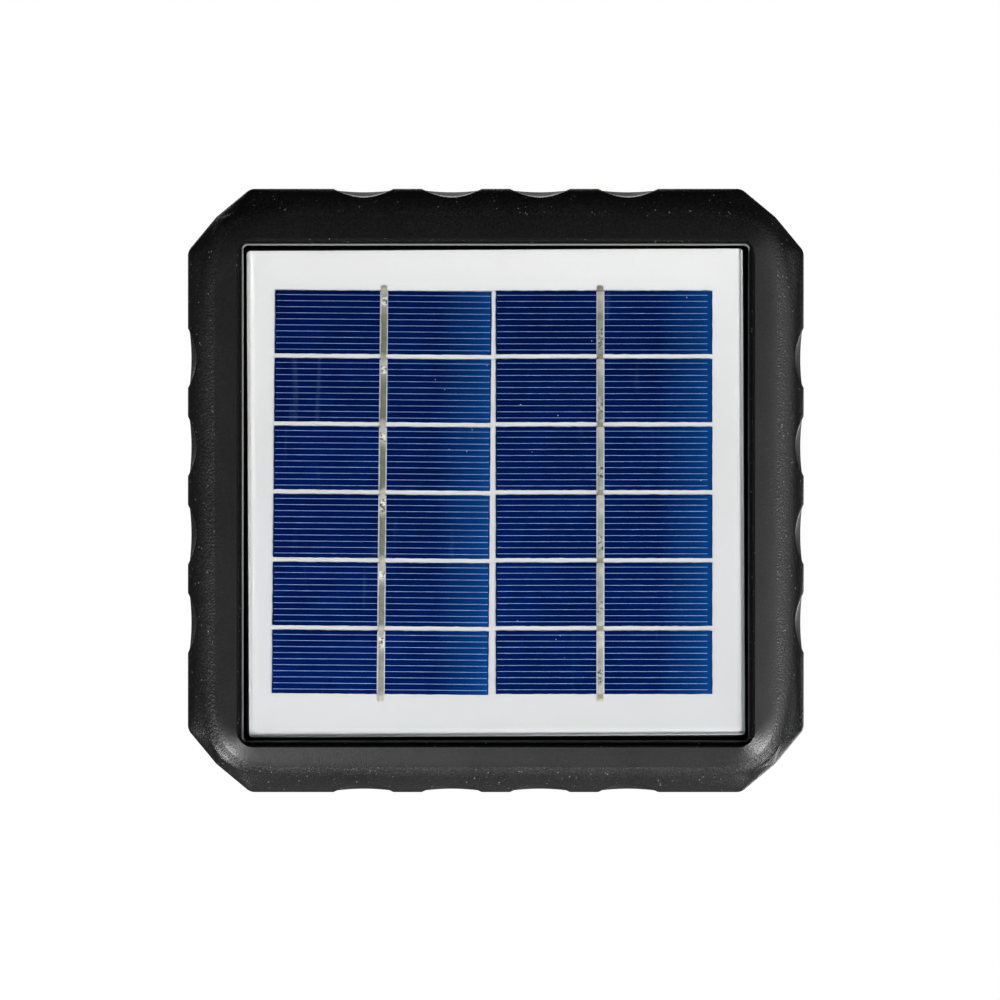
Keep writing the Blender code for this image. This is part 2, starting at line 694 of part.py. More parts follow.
def pulse_led(finish):
    """A round light whose dome shows through the underside."""
    radius, rim = 0.0025, 0.0032
    inside = WALL + GAP
    profile = [(radius * cos(a), -0.0022 - radius * sin(a)) for a in map(radians, (80, 60, 35, 0))]
    profile += [(radius, inside), (rim, inside), (rim, inside + 0.0012), (radius, inside + 0.0014)]
    led = add("pulse_led", turned(profile, 16), finish, smooth=True)
    led.location = (LED_X, TERMINAL_Y, BODY_FLOOR)


# ---- leads inside the housing ---------------------------------------------------------------------
def leads(finishes):
    stud_head = BODY_FLOOR + WALL + 0.0010 + GAP + 0.0040 + GAP
    hot = [
        (-0.0113, -0.0240, -0.0150),
        (-0.0060, -0.0225, -0.0190),
        (0.0060, -0.0205, -0.0205),
        (0.0300, -0.0200, -0.0210),
        (0.0425, -0.0205, -0.0240),
        (0.0445, -0.0215, -0.0400),
        (0.0445, -0.0225, -0.0600),
        (0.0420, -0.0230, -0.0685),
        (TERMINAL_X, TERMINAL_Y, -0.0712),
        (TERMINAL_X, TERMINAL_Y, stud_head),
    ]
    earth = [
        (-0.0447, -0.0265, -0.0100),
        (-0.0465, -0.0250, -0.0200),
        (-0.0455, -0.0225, -0.0400),
        (-0.0445, -0.0225, -0.0600),
        (-0.0420, -0.0230, -0.0685),
        (-TERMINAL_X, TERMINAL_Y, -0.0712),
        (-TERMINAL_X, TERMINAL_Y, stud_head),
    ]
    panel_side, board_side = -0.0539, BOARD_Y - GAP
    supply = [
        (0.0200, panel_side, -0.0250),
        (0.0200, panel_side + 0.0040, -0.0250),
        (0.0200, -0.0450, -0.0300),
        (0.0200, board_side - 0.0040, -0.0350),
        (0.0200, board_side, -0.0350),
    ]
    charge = [
        (-0.0388, -0.0290, BAY_Z),
        (-0.0415, -0.0290, BAY_Z),
        (-0.0440, -0.0315, BAY_Z + 0.0010),
        (-0.0445, BOARD_Y + BOARD_THICK + GAP, BAY_Z + 0.0015),
    ]
    radius = 0.0012
    lead("fence_lead", hot, radius, finishes["red"])
    lead("ground_lead", earth, radius, finishes["green"])
    lead("panel_lead", supply, radius, finishes["black"])
    lead("battery_lead", charge, radius, finishes["black"])


# ---- post bracket -----------------------------------------------------------------------------------
def post_bracket(finishes):
    """A top-hat plate: its flanges screw to the housing and its crown stands off for a strap round a post."""
    back = -BRACKET_THICK
    seat = BACK_Y + GAP
    half, crown, web = BRACKET_HALF_HEIGHT, CROWN_HALF_HEIGHT, 0.0015
    upper = [
        (seat, half),
        (seat, crown - BRACKET_THICK + web),
        (back, crown - BRACKET_THICK),
        (0.0, crown),
        (seat + BRACKET_THICK, crown + web),
        (seat + BRACKET_THICK, half),
    ]
    order = (2, 1, 0, 5, 4, 3)
    section = [upper[i] for i in order] + [(upper[i][0], -upper[i][1]) for i in reversed(order)]
    rings = [[Vector((x, y, z)) for y, z in section] for x in (-BRACKET_HALF_WIDTH, BRACKET_HALF_WIDTH)]
    bracket = add("mounting_bracket", loft(rings), finishes["zinc"])
    number = 0
    for side in (-1, 1):
        x = side * KEYHOLE_X
        cut(
            bracket,
            rod((x, back - 0.001, -0.003), (x, 0.001, -0.003), 0.0043, 20),
            box((x - 0.0023, back - 0.001, -0.003), (x + 0.0023, 0.001, 0.006)),
            rod((x, back - 0.001, 0.006), (x, 0.001, 0.006), 0.0023, 16),
        )
        for z in (-BRACKET_SCREW_Z, BRACKET_SCREW_Z):
            screw_x = side * BRACKET_SCREW_X
            cut(bracket, rod((screw_x, BACK_Y, z), (screw_x, BACK_Y + 0.004, z), 0.0018, 12))
            number += 1
            head_seat = (screw_x, seat + BRACKET_THICK + GAP, z)
            name = f"bracket_screw_{number}"
            pan_screw(name, head_seat, (0, -1, 0), 0.0027, 0.0020, 0.0014, 0.0085, finishes["zinc"])


# ---- the whole energizer ------------------------------------------------------------------------------
def main():
    clear_scene()
    finishes = {
        "shell": material("moulded_shell", (0.016, 0.016, 0.017), 0.55),
        "black": material("black_plastic", (0.02, 0.02, 0.022), 0.5),
        "rubber": material("black_rubber", (0.02, 0.02, 0.02), 0.8),
        "glass": material("clear_glass", (0.95, 0.97, 0.97), 0.04, alpha=0.3),
        "white": material("white_backsheet", (0.85, 0.85, 0.85), 0.6),
        "silicon": material("blue_silicon", (0.003, 0.012, 0.11), 0.35),
        "tin": material("tinned_copper", (0.55, 0.55, 0.5), 0.35, 1.0),
        "board": material("green_board", (0.02, 0.13, 0.05), 0.45),
        "ferrite": material("grey_ferrite", (0.06, 0.06, 0.065), 0.6),
        "copper": material("enamelled_copper", (0.55, 0.2, 0.07), 0.35, 1.0),
        "sleeve": material("sleeved_can", (0.03, 0.07, 0.25), 0.35),
        "nickel": material("nickel_plate", (0.6, 0.58, 0.54), 0.3, 1.0),
        "steel": material("stainless_steel", (0.6, 0.6, 0.6), 0.28, 1.0),
        "zinc": material("zinc_plated_steel", (0.5, 0.51, 0.52), 0.38, 1.0),
        "red": material("red_plastic", (0.45, 0.02, 0.02), 0.4),
        "green": material("green_plastic", (0.02, 0.2, 0.06), 0.4),
        "light": material("pulse_light", (0.6, 0.03, 0.02), 0.15),
    }
    front_frame(finishes["shell"])
    panel(finishes)
    rear_housing(finishes["shell"])
    housing_gasket(finishes["rubber"])
    housing_screws(finishes["zinc"])
    electronics(finishes)
    battery_bay(finishes)
    terminal("fence_terminal", TERMINAL_X, finishes["red"], finishes)
    terminal("ground_terminal", -TERMINAL_X, finishes["green"], finishes)
    power_switch(finishes)
    pulse_led(finishes["light"])
    leads(finishes)
    post_bracket(finishes)


main()
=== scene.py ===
"""Looks of the solar fence energizer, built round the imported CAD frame. Metres, +Z up, panel facing -Y."""

import random
from math import acos, atan2, cos, pi, radians, sin, sqrt, tan

import bmesh
import bpy
from mathutils import Matrix, Vector


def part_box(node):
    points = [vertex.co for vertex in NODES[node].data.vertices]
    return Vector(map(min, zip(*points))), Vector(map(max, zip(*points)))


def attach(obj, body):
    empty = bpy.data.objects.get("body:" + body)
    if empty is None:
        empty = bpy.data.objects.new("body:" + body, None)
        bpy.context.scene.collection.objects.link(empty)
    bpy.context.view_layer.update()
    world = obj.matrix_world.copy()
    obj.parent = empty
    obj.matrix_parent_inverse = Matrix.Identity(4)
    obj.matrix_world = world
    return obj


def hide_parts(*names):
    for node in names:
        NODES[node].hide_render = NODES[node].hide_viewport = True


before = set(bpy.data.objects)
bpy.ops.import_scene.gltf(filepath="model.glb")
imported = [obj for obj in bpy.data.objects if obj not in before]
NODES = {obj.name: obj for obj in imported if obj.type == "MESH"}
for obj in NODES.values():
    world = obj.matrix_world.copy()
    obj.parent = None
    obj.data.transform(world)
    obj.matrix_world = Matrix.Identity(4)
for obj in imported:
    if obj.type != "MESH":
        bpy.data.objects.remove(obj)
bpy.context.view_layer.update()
ROOT = "housing"
GAP = 0.0003


# ---- places read from the frame ----
def middle(node):
    """The middle of a CAD node's box."""
    low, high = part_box(node)
    return (low + high) / 2


FRAME_LOW, FRAME_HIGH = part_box("front_frame")
FRAME_WIDTH = FRAME_HIGH.x - FRAME_LOW.x
FRAME_HEIGHT = FRAME_HIGH.z - FRAME_LOW.z
FRAME_Z = (FRAME_HIGH.z + FRAME_LOW.z) / 2
CREST_Y = FRAME_LOW.y
PARTING_Y = FRAME_HIGH.y
GLASS_LOW, GLASS_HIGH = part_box("panel_glass")
GLASS_WIDTH = GLASS_HIGH.x - GLASS_LOW.x
GLASS_HEIGHT = GLASS_HIGH.z - GLASS_LOW.z
GLASS_Z = (GLASS_HIGH.z + GLASS_LOW.z) / 2
CELL_PITCH = middle("solar_cell_01").z - middle("solar_cell_02").z
LEDGE_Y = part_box("panel_seal")[1].y + GAP


# ---- node helpers ----
class Nodes:
    """A short way to build the node tree of a material, or of the world."""

    def __init__(self, name, kind="materials", shader="Principled BSDF", output="Material Output"):
        self.made = getattr(bpy.data, kind).new(name)
        self.made.use_nodes = True
        self.tree = self.made.node_tree
        self.shader = self.tree.nodes[shader]
        self.output = self.tree.nodes[output]
        self.coordinates = self.add("ShaderNodeTexCoord").outputs["Object"]

    def add(self, kind, **settings):
        node = self.tree.nodes.new(kind)
        for key, value in settings.items():
            setattr(node, key, value)
        return node

    def link(self, source, target):
        self.tree.links.new(source, target)

    def feed(self, socket, value):
        """Gives a socket a number, a colour or another node's output."""
        if isinstance(value, tuple):
            socket.default_value = (*value, 1.0)
        elif isinstance(value, (int, float)):
            socket.default_value = value
        else:
            self.link(value, socket)

    def place(self):
        """The X, Y and Z of each point, by name."""
        split = self.add("ShaderNodeSeparateXYZ")
        self.link(self.coordinates, split.inputs[0])
        return split.outputs

    def seen(self):
        """1 for what the eye sees, and 0 for what the object does."""
        return self.add("ShaderNodeLightPath").outputs["Is Camera Ray"]

    def stretched(self, scale, turn=(0.0, 0.0, 0.0)):
        mapping = self.add("ShaderNodeMapping")
        mapping.inputs["Scale"].default_value = scale
        mapping.inputs["Rotation"].default_value = turn
        self.link(self.coordinates, mapping.inputs["Vector"])
        return mapping.outputs["Vector"]

    def noise(self, scale, detail=2.0, roughness=0.5, vector=None):
        node = self.add("ShaderNodeTexNoise")
        node.inputs["Scale"].default_value = scale
        node.inputs["Detail"].default_value = detail
        node.inputs["Roughness"].default_value = roughness
        self.link(vector or self.coordinates, node.inputs["Vector"])
        return node.outputs["Fac"]

    def cells(self, scale, output="Distance", vector=None):
        node = self.add("ShaderNodeTexVoronoi", feature="F1")
        node.inputs["Scale"].default_value = scale
        self.link(vector or self.coordinates, node.inputs["Vector"])
        return node.outputs[output]

    def flakes(self, scale, vector=None):
        """Cells that each have their own grey."""
        grey = self.add("ShaderNodeRGBToBW")
        self.link(self.cells(scale, "Color", vector), grey.inputs[0])
        return grey.outputs[0]

    def ramp(self, value, *stops):
        """Colours or greys along a value: each stop is a place and a colour."""
        node = self.add("ShaderNodeValToRGB")
        elements = node.color_ramp.elements
        while len(elements) < len(stops):
            elements.new(0.5)
        for element, (place, color) in zip(elements, stops):
            element.position = place
            grey = isinstance(color, (int, float))
            element.color = (color, color, color, 1.0) if grey else (*color, 1.0)
        self.link(value, node.inputs["Fac"])
        return node.outputs["Color"]

    def math(self, operation, first, second=0.0):
        node = self.add("ShaderNodeMath", operation=operation)
        self.feed(node.inputs[0], first)
        self.feed(node.inputs[1], second)
        return node.outputs[0]

    def mix(self, factor, first, second, blend="MIX"):
        node = self.add("ShaderNodeMix", data_type="RGBA", blend_type=blend)
        sockets = [s for s in node.inputs if s.type == "RGBA"]
        for socket, value in zip([node.inputs[0]] + sockets, (factor, first, second)):
            self.feed(socket, value)
        return [s for s in node.outputs if s.type == "RGBA"][0]

    def times(self, first, second):
        return self.mix(1.0, first, second, "MULTIPLY")

    def bump(self, *layers):
        """Stacks bump layers of (height, depth in metres)."""
        normal = None
        for height, depth in layers:
            node = self.add("ShaderNodeBump")
            node.inputs["Strength"].default_value = 1.0
            node.inputs["Distance"].default_value = depth
            self.link(height, node.inputs["Height"])
            if normal:
                self.link(normal, node.inputs["Normal"])
            normal = node.outputs["Normal"]
        self.link(normal, self.shader.inputs["Normal"])

    def blend(self, factor, first, second):
        """Shows two shaders mixed."""
        mixer = self.add("ShaderNodeMixShader")
        for socket, value in zip(mixer.inputs, (factor, first, second)):
            self.link(value, socket)
        self.link(mixer.outputs[0], self.output.inputs["Surface"])

    def set(self, **values):
        for key, value in values.items():
            self.feed(self.shader.inputs[key.replace("_", " ")], value)
        return self.made

    def finish(self, color, pattern, rough, **values):
        """The finished material: its roughness runs between two values along a pattern."""
        roughness = self.ramp(pattern, (0.3, rough[0]), (0.7, rough[1]))
        return self.set(Base_Color=color, Roughness=roughness, **values)


# ---- materials ----
def dimmed(color, share):
    """The color at a share of its brightness, none of its channels above 1."""
    return tuple(min(1.0, c * share) for c in color)


def moulded_plastic(name, color, grain, scale, rough=(0.42, 0.6), gloss=0.5, specks=0.0):
    """Moulded plastic with a spark-eroded grain: fine pits, a faint mottle, and a few pale specks painted in
    as glints of the grain.
    """
    n = Nodes(name)
    fine = n.noise(scale, 3.0, 0.65)
    pits = n.cells(scale * 0.8)
    mottle = n.noise(70, 3.0)
    tones = [(0.32, dimmed(color, 0.4)), (0.48, color)]
    tones += [(0.62, dimmed(color, 1.7)), (0.74, dimmed(color, 2.6))]
    base = n.times(n.ramp(fine, *tones), n.ramp(mottle, (0.25, 0.86), (0.75, 1.0)))
    # painted glints: pale specks that stand in for the sparkle of the grain
    if specks:
        glint_spot = n.ramp(n.cells(900), (0.10, 1.0), (0.20, 0.0))
        patch = n.ramp(n.noise(400, 1.0), (0.50, 0.0), (0.60, 1.0))
        base = n.mix(n.math("MULTIPLY", glint_spot, patch), base, (specks, specks, specks))
    n.bump((fine, grain), (pits, grain * 0.6))
    return n.finish(base, n.mix(0.5, mottle, fine), rough, Specular_IOR_Level=gloss)


def satin_plastic(name, color, rough=(0.3, 0.42)):
    """Coloured moulded plastic with a faint orange-peel skin and a few flow streaks."""
    n = Nodes(name)
    peel = n.noise(420, 2.0)
    flow = n.noise(60, 4.0, 0.6, n.stretched((1.0, 1.0, 0.25)))
    pale = tuple(min(1.0, c * 1.25 + 0.01) for c in color)
    base = n.ramp(flow, (0.3, dimmed(color, 0.75)), (0.55, color), (0.75, pale))
    n.bump((peel, 0.000012), (n.noise(2600, 1.0), 0.000004))
    return n.finish(base, peel, rough)


def metal(name, color, rough=(0.2, 0.4), brush=(1.0, 1.0, 1.0), spangle=0.0):
    """Metal with brushing or plating marks, and zinc spangle if asked."""
    n = Nodes(name)
    marks = n.noise(260, 4.0, 0.6, n.stretched(brush))
    base = n.ramp(n.noise(90, 3.0), (0.3, dimmed(color, 0.78)), (0.6, color))
    if spangle:
        base = n.mix(spangle, base, n.times(base, n.flakes(240)))
    n.bump((marks, 0.000008))
    return n.finish(base, marks, rough, Metallic=1.0)


def foam_rubber(name, color):
    """Closed-cell foam: dark pores in a matt skin."""
    n = Nodes(name)
    pores = n.cells(1400)
    base = n.ramp(pores, (0.1, dimmed(color, 0.5)), (0.6, color))
    n.bump((pores, 0.00005))
    return n.set(Base_Color=base, Roughness=n.ramp(pores, (0.1, 0.95), (0.7, 0.75)))


def bead_with_painted_highlight(name):
    """The bead round the pane: black, with a pale painted highlight along its top and left, where light from
    the lower right would catch the inner edges.
    """
    n = Nodes(name)
    place = n.place()
    from_left = n.math("SUBTRACT", place["X"], GLASS_LOW.x)
    from_top = n.math("SUBTRACT", GLASS_HIGH.z, place["Z"])
    highlight_fade = n.math("MULTIPLY", from_top, 0.010)  # the painted highlight on the left edge fades toward the foot
    highlight_reach = n.math("MINIMUM", n.math("ADD", from_left, highlight_fade), from_top)
    highlight_reach = n.math("DIVIDE", highlight_reach, 0.001)  # over the width of the painted highlight
    uneven = n.math("ADD", highlight_reach, n.math("MULTIPLY", n.noise(300, 2.0), 0.6))
    # painted highlight: pale along the top and left edges, black elsewhere
    base = n.ramp(uneven, (0.0, 0.17), (0.8, 0.07), (1.0, 0.006))
    n.bump((n.noise(1500, 2.0), 0.00002))
    return n.finish(base, n.noise(700), (0.3, 0.5))


def silicon(name, seed, half_width):
    """A polycrystalline cell: deep blue crystal grains, a teal cast along one end, scratches and specks."""
    n = Nodes(name)
    across = n.math("DIVIDE", n.place()["X"], half_width)
    shift = n.add("ShaderNodeVectorMath", operation="ADD")  # so that no two cells have the same grains
    shift.inputs[1].default_value = (seed * 0.31, seed * 0.17, seed * 0.23)
    n.link(n.coordinates, shift.inputs[0])
    n.coordinates = shift.outputs[0]
    drift = n.noise(30, 2.0)
    grains = n.flakes(140, n.stretched((1.0, 1.0, 1.6), (0.0, 0.6, 0.0)))
    blues = [(0.25, (0.0, 0.0062, 0.058)), (0.5, (0.0, 0.0084, 0.077)), (0.75, (0.0002, 0.0120, 0.105))]
    base = n.ramp(n.mix(0.3, drift, grains), *blues)
    teal = n.ramp(across, (0.50, 0.0), (0.88, 0.60), (0.985, 1.0))
    base = n.mix(teal, base, (0.003, 0.052, 0.22))
    rim = n.ramp(n.math("ABSOLUTE", across), (0.985, 0.0), (1.0, 0.65))
    base = n.mix(rim, base, (0.001, 0.008, 0.03))
    scratch = n.noise(40, 1.0, 0.4, n.stretched((9.0, 1.0, 0.8), (0.0, 0.35, 0.0)))
    base = n.mix(n.ramp(scratch, (0.70, 0.0), (0.78, 0.09)), base, (0.12, 0.20, 0.40))
    specks = n.ramp(n.cells(330), (0.030, 0.75), (0.05, 0.0))
    sparse = n.ramp(n.noise(60, 0.0), (0.62, 0.0), (0.66, 1.0))
    base = n.mix(n.math("MULTIPLY", specks, sparse), base, (0.75, 0.8, 0.9))
    return n.finish(base, drift, (0.35, 0.5), Specular_IOR_Level=0.0)


def printed_silver(name, color):
    """Fired silver print: matt, and a little patchy."""
    n = Nodes(name)
    paste = n.noise(1800, 2.0)
    base = n.ramp(paste, (0.3, dimmed(color, 0.72)), (0.65, color))
    return n.finish(base, paste, (0.5, 0.7))


def solder_ribbon(name, tones, zone, solder, patch):
    """Tinned ribbon: its tone runs along it, with speckled solder on each cell and a patch over each gap."""
    n = Nodes(name)
    height = n.place()["Z"]
    tone = n.ramp(n.math("DIVIDE", n.math("SUBTRACT", height, GLASS_LOW.z), GLASS_HEIGHT), *tones)
    pitches = n.math("DIVIDE", n.math("SUBTRACT", height, middle("cell_ribbon_right").z), CELL_PITCH)
    row = n.math("FRACT", n.math("ADD", pitches, 10.0))  # 0 at each gap, and 1 at the next
    uneven = n.math("ADD", row, n.math("MULTIPLY", n.noise(260, 1.0), 0.24))
    pale = n.ramp(uneven, (0.0, 0.8), (0.13, 0.8), (0.20, 0.0), (0.72, 0.0), (0.90, 0.85))
    tone = n.mix(pale, tone, (0.62, 0.60, 0.52))
    tone = n.times(tone, n.ramp(n.noise(500, 2.0), (0.3, 0.70), (0.62, 1.0)))
    start, end = zone
    soldered = n.ramp(uneven, (start, 0.0), (start + 0.04, 0.9), (end - 0.04, 0.9), (end, 0.0))
    blobs = n.noise(1100, 3.0, 0.7)
    base = n.mix(soldered, tone, n.ramp(blobs, *solder))
    over_gap = n.ramp(row, (0.030, patch), (0.045, 0.0), (0.955, 0.0), (0.970, patch))
    base = n.mix(over_gap, base, (0.20, 0.18, 0.11))
    n.bump((blobs, 0.00006))
    return n.finish(base, blobs, (0.45, 0.65), Metallic=0.15)


def white_sheet(name):
    """The white laminate, with painted shading: darker toward its foot, and painted shade under the pane's
    right and lower rims.
    """
    n = Nodes(name)
    place = n.place()
    shade = 0.002  # how far in the painted shades reach
    right = n.math("DIVIDE", n.math("SUBTRACT", GLASS_HIGH.x, place["X"]), shade)
    foot = n.math("SUBTRACT", place["Z"], GLASS_LOW.z)
    # painted shading: the sheet is darker toward its foot
    base = n.ramp(n.math("DIVIDE", foot, GLASS_HEIGHT), (0.0, (0.66, 0.665, 0.67)), (0.6, 0.80), (1.0, 1.0))
    # painted shade under the pane's right rim, and below under its lower rim
    painted_shade_right = n.ramp(right, (0.30, (0.76, 0.80, 0.80)), (0.45, (0.84, 0.87, 0.87)), (1.0, 1.0))
    painted_shade_foot = n.ramp(
        n.math("DIVIDE", foot, shade),
        (0.15, (0.78, 0.81, 0.83)),
        (0.38, (0.62, 0.66, 0.69)),
        (0.60, (0.80, 0.83, 0.85)),
        (0.85, 1.0),
    )
    base = n.times(n.times(base, painted_shade_right), painted_shade_foot)
    base = n.times(base, n.ramp(n.noise(24, 2.0), (0.3, 0.985), (0.7, 1.0)))
    weave = n.noise(900, 2.0)
    n.bump((weave, 0.000008))
    return n.finish(base, weave, (0.5, 0.65), Specular_IOR_Level=0.2)


def clear_pane(name):
    """Flat glass: what is behind it shows straight through, under a Fresnel gloss with a smudge or two."""
    n = Nodes(name)
    n.tree.nodes.remove(n.shader)
    clear = n.add("ShaderNodeBsdfTransparent")
    clear.inputs["Color"].default_value = (0.99, 0.99, 0.99, 1.0)
    gloss = n.add("ShaderNodeBsdfGlossy")
    n.link(n.ramp(n.noise(35, 3.0), (0.4, 0.03), (0.75, 0.10)), gloss.inputs["Roughness"])
    fresnel = n.add("ShaderNodeFresnel")
    fresnel.inputs["IOR"].default_value = 1.45
    # seen from inside, the back face would mirror all that meets it at a slant, so the eye looks past it
    behind = n.add("ShaderNodeNewGeometry").outputs["Backfacing"]
    free = n.math("SUBTRACT", 1.0, n.math("MULTIPLY", behind, n.seen()))
    n.blend(n.math("MULTIPLY", fresnel.outputs[0], free), clear.outputs[0], gloss.outputs[0])
    return n.made


def etched_board(name):
    """Green solder mask over copper tracks, with a fine glass weave."""
    n = Nodes(name)
    tracks = n.cells(260, vector=n.stretched((1.0, 0.0, 0.35)))
    weave = n.noise(2400, 1.0)
    base = n.ramp(tracks, (0.30, (0.012, 0.10, 0.035)), (0.36, (0.03, 0.20, 0.07)))
    base = n.times(base, n.ramp(weave, (0.3, 0.85), (0.7, 1.0)))
    n.bump((tracks, 0.00002), (weave, 0.000004))
    return n.finish(base, weave, (0.3, 0.45))


def wound_wire(name, color):
    """Enamelled wire: fine level stripes, some darker."""
    n = Nodes(name)
    layers = n.noise(900, 1.0, 0.5, n.stretched((0.05, 0.05, 1.0)))
    base = n.ramp(layers, (0.3, dimmed(color, 0.5)), (0.6, color))
    n.bump((layers, 0.00003))
    return n.finish(base, layers, (0.25, 0.4), Metallic=0.8)


def tinted_lens(name, color):
    """The tinted, slightly cloudy plastic of a signal light."""
    n = Nodes(name)
    cloud = n.noise(500, 2.0)
    base = n.ramp(cloud, (0.3, dimmed(color, 0.7)), (0.7, color))
    return n.finish(base, cloud, (0.10, 0.18), Transmission_Weight=0.4)


# ---- shapes ----
def loft(rings, closed=False, slots=None):
    """A mesh through rings of equally many points, capped or closed. slots gives each band's material."""
    mesh = bmesh.new()
    loops = [[mesh.verts.new(point) for point in ring] for ring in rings]
    pairs = list(zip(loops, loops[1:]))
    if closed:
        pairs.append((loops[-1], loops[0]))
    else:
        caps = [mesh.faces.new(loops[0]), mesh.faces.new(loops[-1])]
        if slots:
            caps[0].material_index, caps[1].material_index = slots[0], slots[-1]
    for band, (first, second) in enumerate(pairs):
        for i, corner in enumerate(first):
            j = (i + 1) % len(first)
            face = mesh.faces.new((corner, first[j], second[j], second[i]))
            if slots:
                face.material_index = slots[band]
    bmesh.ops.recalc_face_normals(mesh, faces=mesh.faces)
    return mesh


def box(low, high):
    """A box with sharp edges between two corners."""
    mesh = bmesh.new()
    bmesh.ops.create_cube(mesh, size=1.0)
    low, high = Vector(low), Vector(high)
    size = Matrix.Diagonal((*(high - low), 1.0))
    bmesh.ops.transform(mesh, matrix=Matrix.Translation((low + high) / 2) @ size, verts=mesh.verts)
    return mesh


def soft_box(low, high, edge, segments=3):
    """A box with rounded edges."""
    mesh = box(low, high)
    bmesh.ops.bevel(mesh, geom=mesh.edges[:], offset=edge, segments=segments, profile=0.5, affect="EDGES")
    return mesh


def append(mesh, other, slot=0):
    """Adds another mesh's faces to this one, in one of its finishes."""
    points = {point: mesh.verts.new(point.co) for point in other.verts}
    for face in other.faces:
        mesh.faces.new([points[point] for point in face.verts]).material_index = slot
    other.free()
    return mesh


def placed(mesh, start, direction):
    """Moves a mesh made round Z so that it starts at a point and runs along a direction."""
    aim = Vector(direction).to_track_quat("Z", "Y").to_matrix().to_4x4()
    bmesh.ops.transform(mesh, matrix=Matrix.Translation(start) @ aim, verts=mesh.verts)
    return mesh


def moved(mesh, place):
    """The mesh, shifted by a vector."""
    bmesh.ops.transform(mesh, matrix=Matrix.Translation(place), verts=mesh.verts)
    return mesh


def polar(reach_at, height, steps):
    """A level ring round Z whose reach varies with the angle."""
    angles = [2 * pi * i / steps for i in range(steps)]
    return [Vector((reach_at(a) * cos(a), reach_at(a) * sin(a), height)) for a in angles]


def circle(radius, height, steps):
    """A level ring of one radius round Z."""
    return polar(lambda angle: radius, height, steps)


def turned(profile, steps, closed=False, slots=None):
    """A solid of (radius, height) points turned round Z."""
    return loft([circle(radius, height, steps) for radius, height in profile], closed, slots)


def rod(start, end, radius, steps=32):
    """A straight round bar between two points."""
    length = (Vector(end) - Vector(start)).length
    mesh = turned([(radius, 0.0), (radius, length)], steps)
    return placed(mesh, Vector(start), Vector(end) - Vector(start))


def rounded(half_width, low, high, radii, y, steps):
    """A ring in the plane y: a rectangle whose upper and lower corners have their own radii."""
    top, bottom = radii
    centres = (
        (half_width - top, high - top, top, 0),
        (top - half_width, high - top, top, 1),
        (bottom - half_width, low + bottom, bottom, 2),
        (half_width - bottom, low + bottom, bottom, 3),
    )
    ring = []
    for x, z, radius, quarter in centres:
        for i in range(steps + 1):
            angle = (quarter + i / steps) * pi / 2
            ring.append(Vector((x + radius * cos(angle), y, z + radius * sin(angle))))
    return ring


# ---- pieces ----
def new_object(name, mesh, materials=()):
    """An object of this mesh, or of another object's finished mesh."""
    data = mesh
    if not isinstance(mesh, bpy.types.Mesh):
        data = bpy.data.meshes.new(name)
        mesh.to_mesh(data)
        mesh.free()
        for finish in materials:
            data.materials.append(finish)
    made = bpy.data.objects.new(name, data)
    bpy.context.scene.collection.objects.link(made)
    return made


def show(made, replaces=(), body=ROOT, smooth=30.0):
    """Shades a finished object and hands it to the frame."""
    if smooth:
        made.data.shade_smooth()
        made.data.set_sharp_from_angle(angle=radians(smooth))
    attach(made, body)
    if replaces:
        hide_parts(*replaces)
    return made


def piece(name, mesh, materials, replaces=(), body=ROOT, smooth=30.0):
    """A shown piece that rides on a CAD body."""
    if not isinstance(materials, (list, tuple)):
        materials = [materials]
    return show(new_object(name, mesh, materials), replaces, body, smooth)


def coat(node, finish):
    """Gives a CAD node that stays in sight a better finish."""
    slots = NODES[node].data.materials
    slots.clear()
    slots.append(finish)


def shape(target, operation, *meshes):
    """Cuts these meshes from the target or joins them to it, and applies the result."""
    helpers = []
    for mesh in meshes:
        helper = new_object(f"{target.name}_helper", mesh)
        modifier = target.modifiers.new("shape", "BOOLEAN")
        modifier.operation = operation
        modifier.solver = "EXACT"
        modifier.object = helper
        helpers.append(helper)
    apply_modifiers(target)
    for helper in helpers:
        bpy.data.meshes.remove(helper.data)
    return target


def apply_modifiers(target):
    """Puts the shape that the modifiers make in the place of the mesh."""
    graph = bpy.context.evaluated_depsgraph_get()
    finished = bpy.data.meshes.new_from_object(target.evaluated_get(graph))
    target.modifiers.clear()
    old, target.data = target.data, finished
    bpy.data.meshes.remove(old)


def cut(target, *meshes):
    """Takes the meshes away from the target."""
    return shape(target, "DIFFERENCE", *meshes)


def join(target, *meshes):
    """Adds the meshes to the target."""
    return shape(target, "UNION", *meshes)


def soften(target, width):
    """Rounds the edges that a Boolean left sharp."""
    bevel = target.modifiers.new("edges", "BEVEL")
    bevel.width = width
    bevel.segments = 2
    bevel.limit_method = "ANGLE"
    bevel.angle_limit = radians(32)
    bevel.use_clamp_overlap = True
    apply_modifiers(target)


